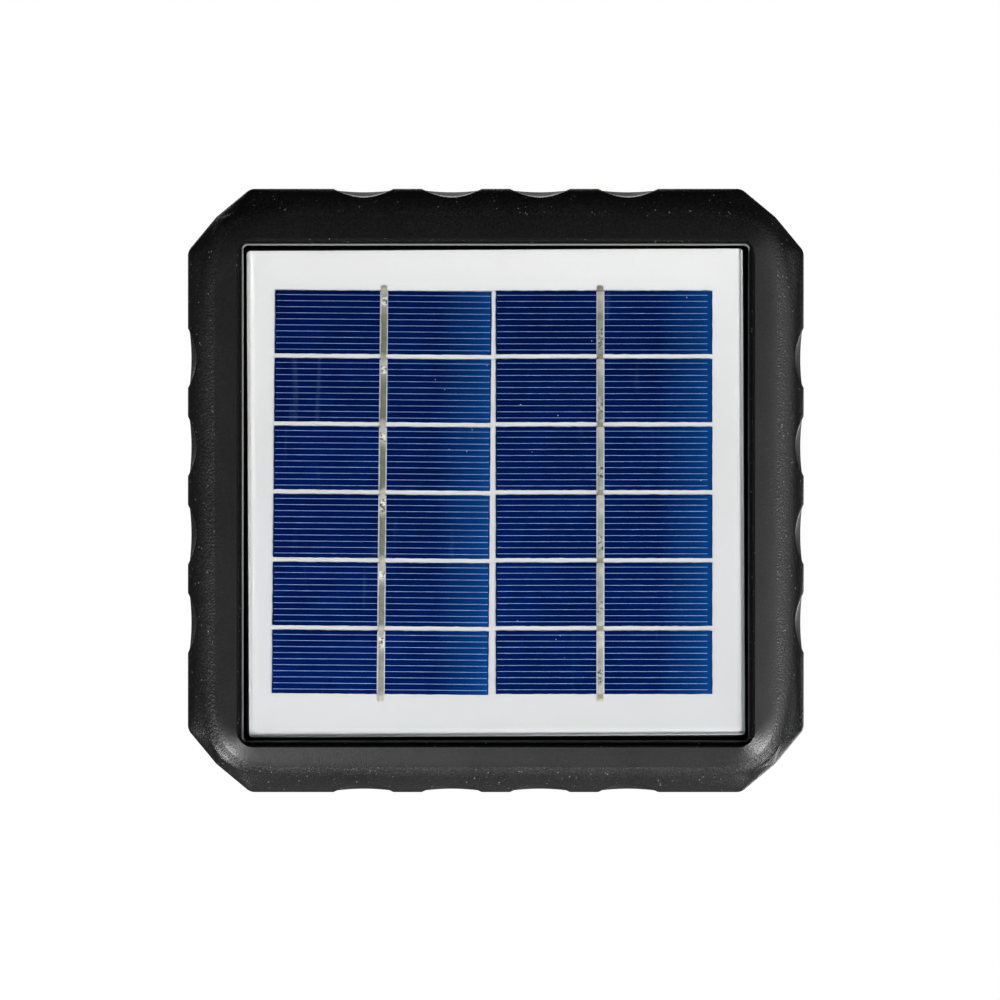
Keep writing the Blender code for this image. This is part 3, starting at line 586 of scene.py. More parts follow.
# ---- front frame ----
CORNER_CUT = 0.0150
CREASE_CUT = 0.0068
FACET_ROUND = 0.0030  # where facets meet on the silhouette
SWEEP_START, SWEEP_DEPTH = 0.0003, 0.0024  # where the facets begin to turn round, and over how much inset
SWEEP_CUT = (0.0096, 0.668)  # how far the swept corner stays off the sharp one, and how much less per inset
SWEEP_WEIGHT = 2.0  # how pointed it is at no inset
ROUND_WEIGHT = cos(pi / 4)  # of a quarter circle
CORNER_STEPS = 8
SCALLOP_PITCH = 0.0212
SCALLOP_HALF = 0.0072
SCALLOP_STEPS = 26
SCALLOPS_PER_SIDE = 4
GROOVE_BACK = 0.0005
GROOVE_FRONT = 0.0023
GRAINED, FINE, PAINTED_SHADE, BEAD, SIDE = range(5)  # the finishes of the front frame's bands, one of them darkened as painted shade for the recess
FRAME_COATS = ("shell", "shell_smooth", "shell_painted_shade", "bead", "shell_wall")  # in the same order
FRAME_WALL = 0.0030
BOSS_Y = -0.0534  # where the bosses of the housing's screws begin
LIP_INSET = 0.0118
BAND_WIDTH = 0.0142  # from the panel to the frame's outer edge
SHOULDER_TILT = radians(72)  # from facing straight forward, at the outer edge
LIP_TILT = radians(9)


def groove_at(y):
    """How deep the finger scallops are at depth y: shallow at the parting line and deepest at the front."""
    share = (PARTING_Y - y) / (PARTING_Y - CREST_Y)
    return GROOVE_BACK + (GROOVE_FRONT - GROOVE_BACK) * min(1.0, share * 1.1)


def fillet(before, corner, after, radius):
    """Points of an arc that rounds one corner of an outline."""
    into = (before - corner).normalized()
    out = (after - corner).normalized()
    half = acos(max(-1.0, min(1.0, into.dot(out)))) / 2
    reach = radius / tan(half)
    centre = corner + (into + out).normalized() * (radius / sin(half))
    first, last = corner + into * reach - centre, corner + out * reach - centre
    sweep = first.angle_signed(last)
    return [centre + Matrix.Rotation(-sweep * i / CORNER_STEPS, 2) @ first for i in range(CORNER_STEPS + 1)]


def quarter(along, away, reach, weight=ROUND_WEIGHT):
    """A conic that turns from one side to the next, with as many points as a faceted corner."""
    last = 3 * (CORNER_STEPS + 1) - 1
    start, corner, end = Vector((along - reach, away)), Vector((along, away)), Vector((along, away - reach))
    points = []
    for i in range(last + 1):
        share = i / last
        shares = ((1 - share) ** 2, 2 * weight * share * (1 - share), share**2)
        points.append((shares[0] * start + shares[1] * corner + shares[2] * end) / sum(shares))
    return points


def swept(inset):
    """(reach, weight) of the swept corner: pointed near the outer edge and a quarter circle at the lip."""
    weight = SWEEP_WEIGHT + (ROUND_WEIGHT - SWEEP_WEIGHT) * min(1.0, inset / LIP_INSET)
    return (SWEEP_CUT[0] - SWEEP_CUT[1] * inset) * sqrt(2) * (1 + weight), weight


def four_sides(half_width, half_height, side_points, y, centre_z):
    """A ring at depth y, from the points that each side has as (along the side, away from the middle)."""
    ring = []
    for side in range(4):
        along, away = (half_height, half_width) if side % 2 == 0 else (half_width, half_height)
        turn = Matrix.Rotation(side * pi / 2, 2)
        ring += [turn @ Vector((point.y, point.x)) for point in side_points(along, away)]
    return [Vector((point.x, y, centre_z + point.y)) for point in ring]


def scallop_stations():
    """(place along a side, share of the way across the scallop from -1 to 1) of each scallop's points."""
    stations = []
    for scallop in range(SCALLOPS_PER_SIDE):
        centre = (scallop - (SCALLOPS_PER_SIDE - 1) / 2) * SCALLOP_PITCH
        for step in range(SCALLOP_STEPS + 1):
            share = 2 * step / SCALLOP_STEPS - 1
            stations.append((centre + share * SCALLOP_HALF, share))
    return stations


def outline(inset, y, groove=None):
    """The outer outline at depth y with its sides moved in by inset. Each side runs scallops, then corner."""
    groove = groove_at(y) if groove is None else groove
    facet_turn = atan2(CREASE_CUT, CORNER_CUT - CREASE_CUT)
    cut_back = CORNER_CUT - inset + inset * tan(facet_turn / 2)
    crease = CREASE_CUT - inset + inset / (cos(facet_turn) + sin(facet_turn))
    facet = Vector((cut_back - crease, crease)).length / Vector((CORNER_CUT - CREASE_CUT, CREASE_CUT)).length
    turned_in = min(1.0, max(0.0, (inset - SWEEP_START) / SWEEP_DEPTH))

    def side_points(along, away):
        points = []
        for place, share in scallop_stations():
            points.append(Vector((place, away - max(0.0, groove * (1 - share * share) - inset))))
        foot = Vector((along - cut_back, away))
        ridge = Vector((along - crease, away - crease))
        head = Vector((along, away - cut_back))
        path = [points[-1], foot, ridge, head, Vector((along, 0.0))]
        corner = []
        for before, here, after in zip(path, path[1:], path[2:]):
            corner += fillet(before, here, after, facet * FACET_ROUND)
        return points + blended(corner, quarter(along, away, *swept(inset)), turned_in)

    return four_sides(FRAME_WIDTH / 2 - inset, FRAME_HEIGHT / 2 - inset, side_points, y, FRAME_Z)


def window(grow, y, radius, weight=ROUND_WEIGHT):
    """The panel's outline grown on every side, with points that answer those of outline()."""
    reach = (SCALLOPS_PER_SIDE - 1) / 2 * SCALLOP_PITCH + SCALLOP_HALF

    def side_points(along, away):
        room = min(reach, along - radius) / reach
        points = [Vector((place * room, away)) for place, _ in scallop_stations()]
        return points + quarter(along, away, radius, weight)

    return four_sides(GLASS_WIDTH / 2 + grow, GLASS_HEIGHT / 2 + grow, side_points, y, GLASS_Z)


def blended(first, second, share):
    """The points a share of the way from one ring to another."""
    return [a.lerp(b, share) for a, b in zip(first, second)]


def bevel_profile(steps=26):
    """(inset, y) from the outer edge to the lip: steep at first, and nearly facing forward at the lip."""
    fine = 400
    heights = [0.0]
    for i in range(fine):
        left = (i + 0.5) / fine
        tilt = LIP_TILT + (SHOULDER_TILT - LIP_TILT) * left**3
        heights.append(heights[-1] + tan(tilt) * LIP_INSET / fine)
    places = [(i / steps) ** 1.6 for i in range(steps + 1)]
    return [(LIP_INSET * u, CREST_Y + heights[round((1 - u) * fine)]) for u in places]


def front_frame_rings():
    """Rings from the parting line over the crest and down to the panel's seat, with each band's finish."""
    profile = bevel_profile()
    shoulder = profile[0][1]
    levels = 5
    rings = [outline(0.0, PARTING_Y + (shoulder - PARTING_Y) * i / levels) for i in range(levels)]
    slots = [SIDE] * levels
    grained, straight = 0.0062, 0.0008  # insets: where the grain ends, and where the window's shape sets in
    for inset, y in profile:
        toward = (max(0.0, inset - straight) / (LIP_INSET - straight)) ** 1.15
        rings.append(blended(outline(inset, y), window(BAND_WIDTH - inset, y, *swept(inset)), toward))
        slots.append(GRAINED if inset < grained else FINE)
    slots.pop()
    lip = (
        (0.00215, 0.00010, 0.0024, PAINTED_SHADE),
        (0.00200, 0.00035, 0.0023, PAINTED_SHADE),
        (0.00190, 0.00120, 0.0022, PAINTED_SHADE),
        (0.00180, 0.00175, 0.0020, PAINTED_SHADE),
        (0.00165, 0.00195, 0.0019, PAINTED_SHADE),
        (0.00120, 0.00200, 0.0014, PAINTED_SHADE),
        (0.00110, 0.00190, 0.0013, BEAD),
        (0.00096, 0.00184, 0.0012, BEAD),
        (0.00084, 0.00192, 0.0011, BEAD),
        (0.00076, 0.00215, 0.0010, BEAD),
        (0.00072, 0.00260, 0.0009, PAINTED_SHADE),
        (0.00072, LEDGE_Y - CREST_Y, 0.0009, PAINTED_SHADE),
        (-0.0037, LEDGE_Y - CREST_Y, 0.0009, PAINTED_SHADE),
        (-0.0037, LEDGE_Y - CREST_Y + 0.0020, 0.0009, PAINTED_SHADE),
    )
    for grow, depth, radius, slot in lip:
        rings.append(window(grow, CREST_Y + depth, radius))
        slots.append(slot)
    rings.append(outline(FRAME_WALL, LEDGE_Y + 0.0020, 0.0))
    rings.append(outline(FRAME_WALL, PARTING_Y, 0.0))
    slots += [PAINTED_SHADE] * 3
    return rings, slots


def front_frame(finishes):
    """The front frame and its four screw bosses."""
    rings, slots = front_frame_rings()
    mesh = loft(rings, closed=True, slots=slots)
    for place in screws_at("housing", 4):
        boss = turned([(0.0038, 0.0), (0.0038, 0.0132), (0.0019, 0.0132), (0.0019, 0.0)], 32, closed=True)
        append(mesh, placed(boss, (place.x, BOSS_Y, place.z), (0, 1, 0)), PAINTED_SHADE)
    piece("front_bezel", mesh, [finishes[coat] for coat in FRAME_COATS], ("front_frame",), smooth=28)


# ---- solar panel ----
SQUARE = ((-1, -1), (1, -1), (1, 1), (-1, 1))
FINGERS = 10
FINGER_PITCH = 0.001456
FINGER_WIDTH = 0.00014
BUSBAR_WIDTH = 0.0019
RIBBON_OFF = {"left": 0.00017, "right": -0.00088}  # off the middle of the cells, toward the right
FINGER_MARGIN = 0.0003  # from a cell's end to the ends of its fingers
RIGHT_MARGIN = {"left": FINGER_MARGIN, "right": 0.0012}
STRING_TILT = {"left": radians(0.5), "right": 0.0}  # the left string lies a little askew
PANEL_TURN = Matrix.Rotation(radians(-0.3), 3, "Y")  # the pane lies a little askew in its seat


def panel(finishes):
    """The glass pane, and the white sheet laminated behind the cells."""
    edge, radius = 0.0004, 0.0009
    low, high = GLASS_LOW.y, GLASS_HIGH.y
    sheet_low, sheet_high = (corner.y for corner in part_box("panel_backsheet"))
    sheet_in, sheet_edge = 0.0002, 0.0001
    centre = Vector((0.0, 0.0, GLASS_Z))

    def ring(shrink, y):
        half = GLASS_WIDTH / 2 - shrink
        flat = rounded(half, GLASS_LOW.z + shrink, GLASS_HIGH.z - shrink, (radius, radius), y, 4)
        return [centre + PANEL_TURN @ (point - centre) for point in flat]

    pane = loft([ring(edge, low), ring(0.0, low + edge), ring(0.0, high - edge), ring(edge, high)])
    piece("glass_pane", pane, finishes["glass"], ("panel_glass",))
    rings = [ring(sheet_in + sheet_edge, sheet_low)]
    rings += [ring(sheet_in, y) for y in (sheet_low + 2 * sheet_edge, sheet_high)]
    piece("white_backsheet", loft(rings), finishes["backsheet"], ("panel_backsheet",))


def ragged(length, low, high, generator, step=0.0011, rough=0.00005):
    """Points along a cut edge from low to high at a nearly constant height, a little ragged."""
    count = max(2, int((high - low) / step))
    places = [low + (high - low) * i / count for i in range(count + 1)]
    return [(place, length + generator.uniform(-rough, rough)) for place in places]


def solar_cell(number, finishes, generator):
    """One cut wafer with its printed fingers and busbar."""
    node = f"solar_cell_{number:02d}"
    low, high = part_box(node)
    side = "left" if number <= 6 else "right"
    half_x, half_z = 0.0260, 0.0076
    points = [(x, z) for x, z in ragged(half_z, -half_x, half_x, generator)[::-1]]
    points += [(-x, z) for z, x in ragged(half_x, -half_z, half_z, generator)[::-1]][1:-1]
    points += [(x, -z) for x, z in ragged(half_z, -half_x, half_x, generator)]
    points += [(x, z) for z, x in ragged(half_x, -half_z, half_z, generator)][1:-1]
    mesh = loft([[Vector((x, y, z)) for x, z in points] for y in (0.0, high.y - low.y)])
    for line in range(FINGERS):
        z = (line - (FINGERS - 1) / 2) * FINGER_PITCH
        strip(mesh, FINGER_MARGIN - half_x, half_x - RIGHT_MARGIN[side], z, generator)
    busbar(mesh, RIBBON_OFF[side], half_z - 0.0001)
    bmesh.ops.transform(mesh, matrix=Matrix.Rotation(STRING_TILT[side], 4, "Y"), verts=mesh.verts)
    coats = [silicon(f"silicon_{number:02d}", number, half_x), finishes["finger"], finishes["busbar"]]
    made = piece(f"wafer_{number:02d}", mesh, coats, (node,), smooth=0)
    made.location = ((low.x + high.x) / 2, low.y, (low.z + high.z) / 2)


def printed(mesh, corners, slot):
    """A printed patch that looks to the front."""
    face = mesh.faces.new(corners)
    face.normal_update()
    if face.normal.y > 0:
        face.normal_flip()
    face.material_index = slot


def strip(mesh, start, end, z, generator, lift=0.000012, pieces=26):
    """A printed line along X, standing just proud of the cell, its width slightly uneven."""
    rows = []
    for i in range(pieces + 1):
        x = start + (end - start) * i / pieces
        half = FINGER_WIDTH / 2 * generator.uniform(0.85, 1.15)
        rows.append([mesh.verts.new((x, -lift, z + side * half)) for side in (-1, 1)])
    for first, second in zip(rows, rows[1:]):
        printed(mesh, (first[0], first[1], second[1], second[0]), 1)


def busbar(mesh, x, half_z, lift=0.00002):
    """The wide printed line across the fingers that the ribbon is soldered to."""
    half = BUSBAR_WIDTH / 2
    printed(mesh, [mesh.verts.new((x + across * half, -lift, up * half_z)) for across, up in SQUARE], 2)


def ribbon(side, finishes, generator):
    """The tinned ribbon soldered down one string, a little crooked and uneven."""
    node = f"cell_ribbon_{side}"
    low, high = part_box(node)
    centre = (low + high) / 2 + Vector((RIBBON_OFF[side], 0.0, -0.0003))
    half_length = (high.z - low.z) / 2 - 0.0003
    half_width, rows = 0.00068, 120
    rings = []
    drift = 0.0
    for i in range(rows + 1):
        z = -half_length + 2 * half_length * i / rows
        drift = drift * 0.9 + generator.uniform(-0.00003, 0.00003)
        swell = half_width * generator.uniform(0.94, 1.06)
        x = centre.x + sin(STRING_TILT[side]) * z + drift
        thick = (high.y - low.y) * generator.uniform(0.7, 1.0)
        section = ((-1, 0), (-1, 0.5), (-0.6, 1), (0.6, 1), (1, 0.5), (1, 0))
        z += centre.z
        rings.append([Vector((x + swell * across, high.y - thick * up, z)) for across, up in section])
    piece(f"ribbon_{side}", loft(rings), finishes[f"ribbon_{side}"], (node,), smooth=50)


# ---- rear housing ----
FLANGE_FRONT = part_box("rear_housing")[0].y
FLANGE_BACK = FLANGE_FRONT + 0.0030
BACK_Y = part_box("mounting_bracket")[0].y - GAP
WALL = 0.0025
CLEAR = 0.001  # how far a cutting tool runs past the wall it cuts, or a joined part into it
BODY_HALF_WIDTH = 0.0670
BODY_TOP = FRAME_Z + 0.0665
BODY_FLOOR = FRAME_Z - 0.0425
BODY_TAPER = 0.0010
TOP_CORNER = 0.0280
FLOOR_CORNER = 0.0100
BACK_ROUND = 0.0015
FOOT_ROUND = 0.0008
BAY_Z = middle("battery_holder").z
BAY_HALF_WIDTH = 0.0450
BAY_HALF_HEIGHT = 0.0225
BAY_LEDGE_Y = -0.0120
BAY_RIM = 0.0015
HINGE = middle("door_hinge_pin")
KNUCKLE = 0.0022
PIN = 0.0010
DOOR_LUG_X = 0.0195
LUG_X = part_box("door_hinge_pin")[1].x
TERMINAL_Y = middle("switch_body").y
LED_X = middle("pulse_led").x
QUARTER = [pi / 2 * i / 5 for i in range(6)]


def body_ring(shrink, y):
    """The housing's outline behind its flange: its sides and top shrink, and its underside stays level."""
    low = BODY_FLOOR + min(0.0, shrink) + max(0.0, shrink - BODY_TAPER)
    radii = (TOP_CORNER - shrink, FLOOR_CORNER - shrink)
    return rounded(BODY_HALF_WIDTH - shrink, low, BODY_TOP - shrink, radii, y, 20)


def hollow_ring(shrink, y):
    """The outline of the hollow inside the body."""
    radii = (TOP_CORNER - WALL - shrink, FLOOR_CORNER - WALL - shrink)
    half_width = BODY_HALF_WIDTH - WALL - shrink
    return rounded(half_width, BODY_FLOOR + WALL, BODY_TOP - WALL - shrink, radii, y, 20)


def bay_ring(grow_x, grow_z, y, radius=0.0015):
    """The battery bay's outline, grown to the sides and upward and downward."""
    low = BAY_Z - BAY_HALF_HEIGHT - grow_z
    high = BAY_Z + BAY_HALF_HEIGHT + grow_z
    return rounded(BAY_HALF_WIDTH + grow_x, low, high, (radius, radius), y, 6)


def through(x, z, low, high, radius, steps=32):
    """A round bar along Y."""
    return rod((x, low, z), (x, high, z), radius, steps)


def flange_ring(inset, y):
    """The frame's outline with shallow scallops, for the rear flange."""
    return outline(inset, y, 0.0005)


def board_back():
    """The depth at which the circuit board rests on its two posts."""
    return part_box("circuit_board")[1].y + GAP


def screws_at(kind, count):
    """Where the screws of one kind stand."""
    return [middle(f"{kind}_screw_{i}") for i in range(1, count + 1)]


def housing_walls(finishes):
    """The flange and the hollow body behind it."""
    back = FLANGE_BACK
    flange = [flange_ring(0.0006, FLANGE_FRONT), flange_ring(0.0003, FLANGE_FRONT + 0.0003)]
    for inset, ahead in ((0.0003, 0.0009), (0.0005, 0.0004), (0.0009, 0.0001), (0.0014, 0.0)):
        flange.append(flange_ring(inset, back - ahead))
    housing = new_object("rear_shell", loft(flange), [finishes["shell"]])
    rings = [body_ring(-FOOT_ROUND, back - CLEAR)]
    for a in QUARTER:
        rings.append(body_ring(FOOT_ROUND * (sin(a) - 1), back + FOOT_ROUND * (1 - cos(a))))
    for a in QUARTER:
        rings.append(body_ring(BODY_TAPER + BACK_ROUND * (1 - cos(a)), BACK_Y - BACK_ROUND * (1 - sin(a))))
    join(housing, loft(rings))
    cut(housing, loft([hollow_ring(0.0, FLANGE_FRONT - CLEAR), hollow_ring(BODY_TAPER, BACK_Y - WALL)]))
    return housing


def bay_opening(housing):
    """The battery bay's mouth, the throat behind its ledge, and the lugs that hold the door's pin."""
    ledge_front = BAY_LEDGE_Y - BAY_RIM
    join(housing, loft([bay_ring(0.003, 0.003, y) for y in (ledge_front, BACK_Y - CLEAR)]))
    mouth = [bay_ring(0.0, 0.0, y) for y in (BAY_LEDGE_Y, BACK_Y - 0.0005)]
    mouth += [bay_ring(0.0005, 0.0005, y, 0.0020) for y in (BACK_Y, BACK_Y + CLEAR)]
    throat = [bay_ring(-0.0040, -0.0030, y) for y in (ledge_front - CLEAR, BACK_Y)]
    cut(housing, loft(mouth), loft(throat))
    lugs = []
    top = BAY_Z + BAY_HALF_HEIGHT
    for side in (-1, 1):
        inner, outer = sorted((side * (DOOR_LUG_X + 0.0005), side * LUG_X))
        lugs.append(rod((inner, HINGE.y, HINGE.z), (outer, HINGE.y, HINGE.z), KNUCKLE))
        lugs.append(box((inner, BACK_Y - CLEAR, top + 0.0002), (outer, HINGE.y + 0.0006, top + 0.0016)))
    join(housing, *lugs)


def housing_holes():
    """Screw holes, the hinge pin's bore, and the openings of the underside."""
    holes = []
    for p in screws_at("bracket", 4):
        holes.append(through(p.x, p.z, BACK_Y - WALL - 0.004, BACK_Y + CLEAR, 0.0018, 24))
    for p in screws_at("board", 2):
        holes.append(through(p.x, p.z, board_back() - CLEAR, board_back() + 0.010, 0.0015, 24))
    for p in screws_at("housing", 4):
        holes.append(through(p.x, p.z, FLANGE_FRONT - CLEAR, FLANGE_BACK + CLEAR, 0.0020, 24))
    holes.append(rod((-LUG_X - CLEAR, HINGE.y, HINGE.z), (LUG_X + CLEAR, HINGE.y, HINGE.z), PIN + GAP))
    above, below = BODY_FLOOR + WALL + CLEAR, BODY_FLOOR - CLEAR
    for node in ("fence_terminal_stud", "ground_terminal_stud"):
        x = middle(node).x
        holes.append(rod((x, TERMINAL_Y, below), (x, TERMINAL_Y, above), 0.0053, 48))
    holes.append(box((-0.0096, TERMINAL_Y - 0.0065, below), (0.0096, TERMINAL_Y + 0.0065, above)))
    holes.append(rod((LED_X, TERMINAL_Y, below), (LED_X, TERMINAL_Y, above), 0.0028))
    return holes


def rear_housing(finishes):
    """The housing with its battery bay, bosses and holes."""
    housing = housing_walls(finishes)
    bay_opening(housing)
    seat = BACK_Y - WALL + CLEAR
    bosses = [through(p.x, p.z, BACK_Y - WALL - 0.005, seat, 0.0035) for p in screws_at("bracket", 4)]
    bosses += [through(p.x, p.z, board_back(), seat, 0.0034) for p in screws_at("board", 2)]
    join(housing, *bosses)
    cut(housing, *housing_holes())
    show(housing, ("rear_housing",), smooth=28)


def battery_door(finishes):
    """A plate hung from its top edge, with grip ribs, a finger tab and a knuckle between the lugs."""
    inner, outer, edge = BACK_Y - 0.0026, BACK_Y, 0.0005
    rings = [bay_ring(-0.0012, -0.0012, inner), bay_ring(-0.0009, -0.0009, inner + 0.0003)]
    for a in QUARTER:
        shrink = 0.0005 + edge * (1 - cos(a))
        rings.append(bay_ring(-shrink, -shrink, outer - edge * (1 - sin(a))))
    door = new_object("battery_cover", loft(rings), [finishes["shell"]])
    root = BACK_Y - CLEAR
    tab_low, tab_high = BAY_Z - BAY_HALF_HEIGHT + 0.0020, BAY_Z - 0.0178
    parts = [
        rod((-DOOR_LUG_X, HINGE.y, HINGE.z), (DOOR_LUG_X, HINGE.y, HINGE.z), KNUCKLE),
        box((-DOOR_LUG_X + 0.0002, root, HINGE.z - 0.0024), (DOOR_LUG_X - 0.0002, HINGE.y, HINGE.z)),
        soft_box((-0.0120, root, tab_low), (0.0120, outer + 0.0022, tab_high), 0.0008, 4),
    ]
    for i in range(5):
        z = BAY_Z - 0.0100 + i * 0.0034
        parts.append(soft_box((-0.0280, root, z), (0.0280, outer + 0.0007, z + 0.0014), 0.0005, 4))
    join(door, *parts)
    cut(door, rod((-LUG_X, HINGE.y, HINGE.z), (LUG_X, HINGE.y, HINGE.z), PIN + GAP))
    show(door, ("battery_door",), "door")


def hinge_pin(finishes):
    """The door's pin, its ends broken."""
    tip = 0.0003
    length = 2 * LUG_X
    profile = [(PIN - tip, 0.0), (PIN, tip), (PIN, length - tip), (PIN - tip, length)]
    pin = placed(turned(profile, 32), (-LUG_X, HINGE.y, HINGE.z), (1, 0, 0))
    piece("hinge_pin", pin, finishes["steel"], ("door_hinge_pin",))


# ---- screws and bracket ----
def threaded(major, minor, pitch, start, end, steps, per_turn=8):
    """Rings of a screw thread round Z that runs out at both ends."""
    rows = round((end - start) / pitch * per_turn)
    rings = []
    for row in range(rows + 1):
        height = start + (end - start) * row / rows
        depth = (major - minor) * min(1.0, (height - start) / pitch, (end - height) / pitch)

        def reach_at(angle):
            return minor + depth * (1 - abs(2 * ((height / pitch - angle / (2 * pi)) % 1.0) - 1))

        rings.append(polar(reach_at, height, steps))
    return rings


def pan_screws(nodes, direction, head, head_height, shank, length, finish):
    """Cross-head screws on one mesh. Each stands where its CAD node does."""
    steps = 28
    crown = ((0.25, 1.0), (0.55, 0.98), (0.78, 0.90), (0.92, 0.74), (0.99, 0.52), (1.0, 0.30), (0.98, 0.06))
    rings = [circle(head * share, -head_height * up, steps) for share, up in crown]
    rings += [circle(head * 0.95, 0.0, steps), circle(shank * 0.8, 0.0, steps)]
    rings += threaded(shank, shank * 0.76, 0.0007, 0.0002, length - shank * 1.2, steps, 6)
    rings.append(circle(shank * 0.2, length, steps))
    master = new_object(f"{nodes[0]}_turned", loft(rings), [finish])
    recess = []
    for across in ((0.55, 0.11), (0.11, 0.55)):
        slot = []
        for share, up in ((0.6, 0.35), (1.0, 1.1)):
            half_x, half_y = head * across[0] * share, head * across[1] * share
            slot.append([Vector((x * half_x, y * half_y, -head_height * up)) for x, y in SQUARE])
        recess.append(loft(slot))
    cut(master, *recess)
    aim = Vector(direction).to_track_quat("Z", "Y").to_matrix().to_4x4()
    for number, node in enumerate(nodes):
        made = master if number == 0 else new_object(f"{node}_turned", master.data)
        low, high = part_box(node)
        seat = middle(node)
        seat.y = high.y - head_height if direction[1] < 0 else low.y + head_height
        turn = Matrix.Rotation(radians(25 + 37 * number), 4, "Z")
        made.matrix_world = Matrix.Translation(seat) @ aim @ turn
        show(made, (node,), smooth=40)


SHEET = 0.0020


def bracket_section(half):
    """The upper half of the top-hat section as (y, z), bent with real radii, its flange ending at half."""
    crown, web, seat = 0.0140, 0.0015, BACK_Y + GAP
    inside, outside, sheared = 0.0009, 0.0029, 0.0003
    corners = (
        ((-SHEET, crown - SHEET), inside),
        ((seat, crown - SHEET + web), outside),
        ((seat, half), sheared),
        ((seat + SHEET, half), sheared),
        ((seat + SHEET, crown + web), inside),
        ((0.0, crown), outside),
    )
    points = [Vector(place) for place, radius in corners]
    path = [Vector((-SHEET, 0.0))] + points + [Vector((0.0, 0.0))]
    section = []
    for before, corner, after, (place, radius) in zip(path, path[1:], path[2:], corners):
        section += fillet(before, corner, after, radius)
    return section


def post_bracket(finishes):
    """A pressed top-hat plate with rounded corners, two keyholes in its crown and four flange holes."""
    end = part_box("mounting_bracket")[1]
    corner = 0.0030
    ends = [(end.x - corner * (1 - sin(a)), end.z - corner * (1 - cos(a))) for a in QUARTER]
    rings = []
    for x, half in [(-x, half) for x, half in reversed(ends)] + ends:
        section = bracket_section(half)
        section += [Vector((y, -z)) for y, z in reversed(section)]
        rings.append([Vector((x, y, z)) for y, z in section])
    bracket = new_object("post_bracket", loft(rings), [finishes["zinc"]])
    holes = []
    for x in (-0.0180, 0.0180):
        low, high, slot = -0.003, 0.006, 0.0023
        holes.append(through(x, low, -SHEET - CLEAR, CLEAR, 0.0043, 48))
        holes.append(box((x - slot, -SHEET - CLEAR, low), (x + slot, CLEAR, high)))
        holes.append(through(x, high, -SHEET - CLEAR, CLEAR, slot, 40))
    for place in screws_at("bracket", 4):
        holes.append(through(place.x, place.z, BACK_Y, BACK_Y + 0.004, 0.0018, 24))
    cut(bracket, *holes)
    soften(bracket, 0.00018)
    show(bracket, ("mounting_bracket",))


# ---- underside: terminals, switch, pulse light ----
STUD = 0.0030
COLLAR = 0.0090
KNOB = 0.0085
KNOB_TOP = -0.0069
KNOB_END = -0.0189
BORE = STUD + GAP
COLLAR_TOP = WALL + 0.0010


def hexagon(width, height, limit, steps):
    """A ring of a hexagon that is width across its corners, cut back to a circle where limit is smaller."""
    flat = width / 2 * cos(pi / 6)
    return polar(lambda angle: min(limit, flat / cos(angle % (pi / 3) - pi / 6)), height, steps)


def lobed(radius, height, flute, lobes=12, steps=144):
    """A ring of a hand knob, with a rounded flute between each two lobes."""
    return polar(lambda angle: radius - flute * (0.5 - 0.5 * cos(lobes * angle)) ** 2, height, steps)


def terminal_collar():
    """The insulating collar round the stud, with a groove near its top."""
    low, edge, shoulder = -0.0048, 0.0003, 0.0010
    profile = [(0.0050, -GAP), (COLLAR - edge, -GAP), (COLLAR, -0.0006), (COLLAR, -0.0018)]
    profile += [(COLLAR - edge, -0.0020), (COLLAR - edge, -0.0023), (COLLAR, -0.0025)]
    profile += [(COLLAR - shoulder * (1 - cos(a)), low + shoulder * (1 - sin(a))) for a in QUARTER]
    profile += [(BORE + edge, low), (BORE, low + edge), (BORE, COLLAR_TOP), (0.0050, COLLAR_TOP)]
    return turned(profile, 72, closed=True)


def terminal_stud(end):
    """The threaded stud, down to end, with its hexagon head inside the housing."""
    steps = 36
    root = STUD - 0.00055
    low, high = COLLAR_TOP + GAP, COLLAR_TOP + GAP + 0.0040
    rings = [circle(STUD - 0.0007, end, steps)]
    rings += threaded(STUD, root, 0.0010, end + 0.0002, 0.0030, steps)
    rings.append(circle(root, low, steps))
    for height, limit in ((low, 0.0053), (low + 0.0003, 0.0060), (high - 0.0004, 0.0060), (high, 0.0052)):
        rings.append(hexagon(0.0114, height, limit, steps))
    return loft(rings)


def clamp_washer():
    """The washer that clamps the wire, its edges rounded off."""
    edge, rim = 0.0003, 0.0080
    upper, lower = -0.0051, -0.0066
    profile = [(rim - edge, upper), (rim, upper - edge), (rim, lower + edge), (rim - edge, lower)]
    profile += [(BORE + edge, lower), (BORE, lower + edge), (BORE, upper - edge), (BORE + edge, upper)]
    return turned(profile, 72, closed=True)


def thumb_knob():
    """A fluted knob, rounded at both ends, with a shallow recess in its foot."""
    round_in, round_up, flute = 0.0012, 0.0014, 0.0009
    rings = []
    for start, up, angles in ((KNOB_TOP, -round_up, QUARTER), (KNOB_END, round_up, QUARTER[::-1])):
        for a in angles:
            rings.append(lobed(KNOB - round_in * (1 - sin(a)), start + up * (1 - cos(a)), flute * sin(a)))
    recess = ((0.0060, 0.0), (0.0056, 0.0003), (0.0053, 0.0010), (BORE + 0.0003, 0.0010), (BORE, 0.0013))
    rings += [circle(radius, KNOB_END + deep, 144) for radius, deep in recess]
    rings += [circle(BORE, KNOB_TOP - 0.0003, 144), circle(BORE + 0.0003, KNOB_TOP, 144)]
    return loft(rings, closed=True)


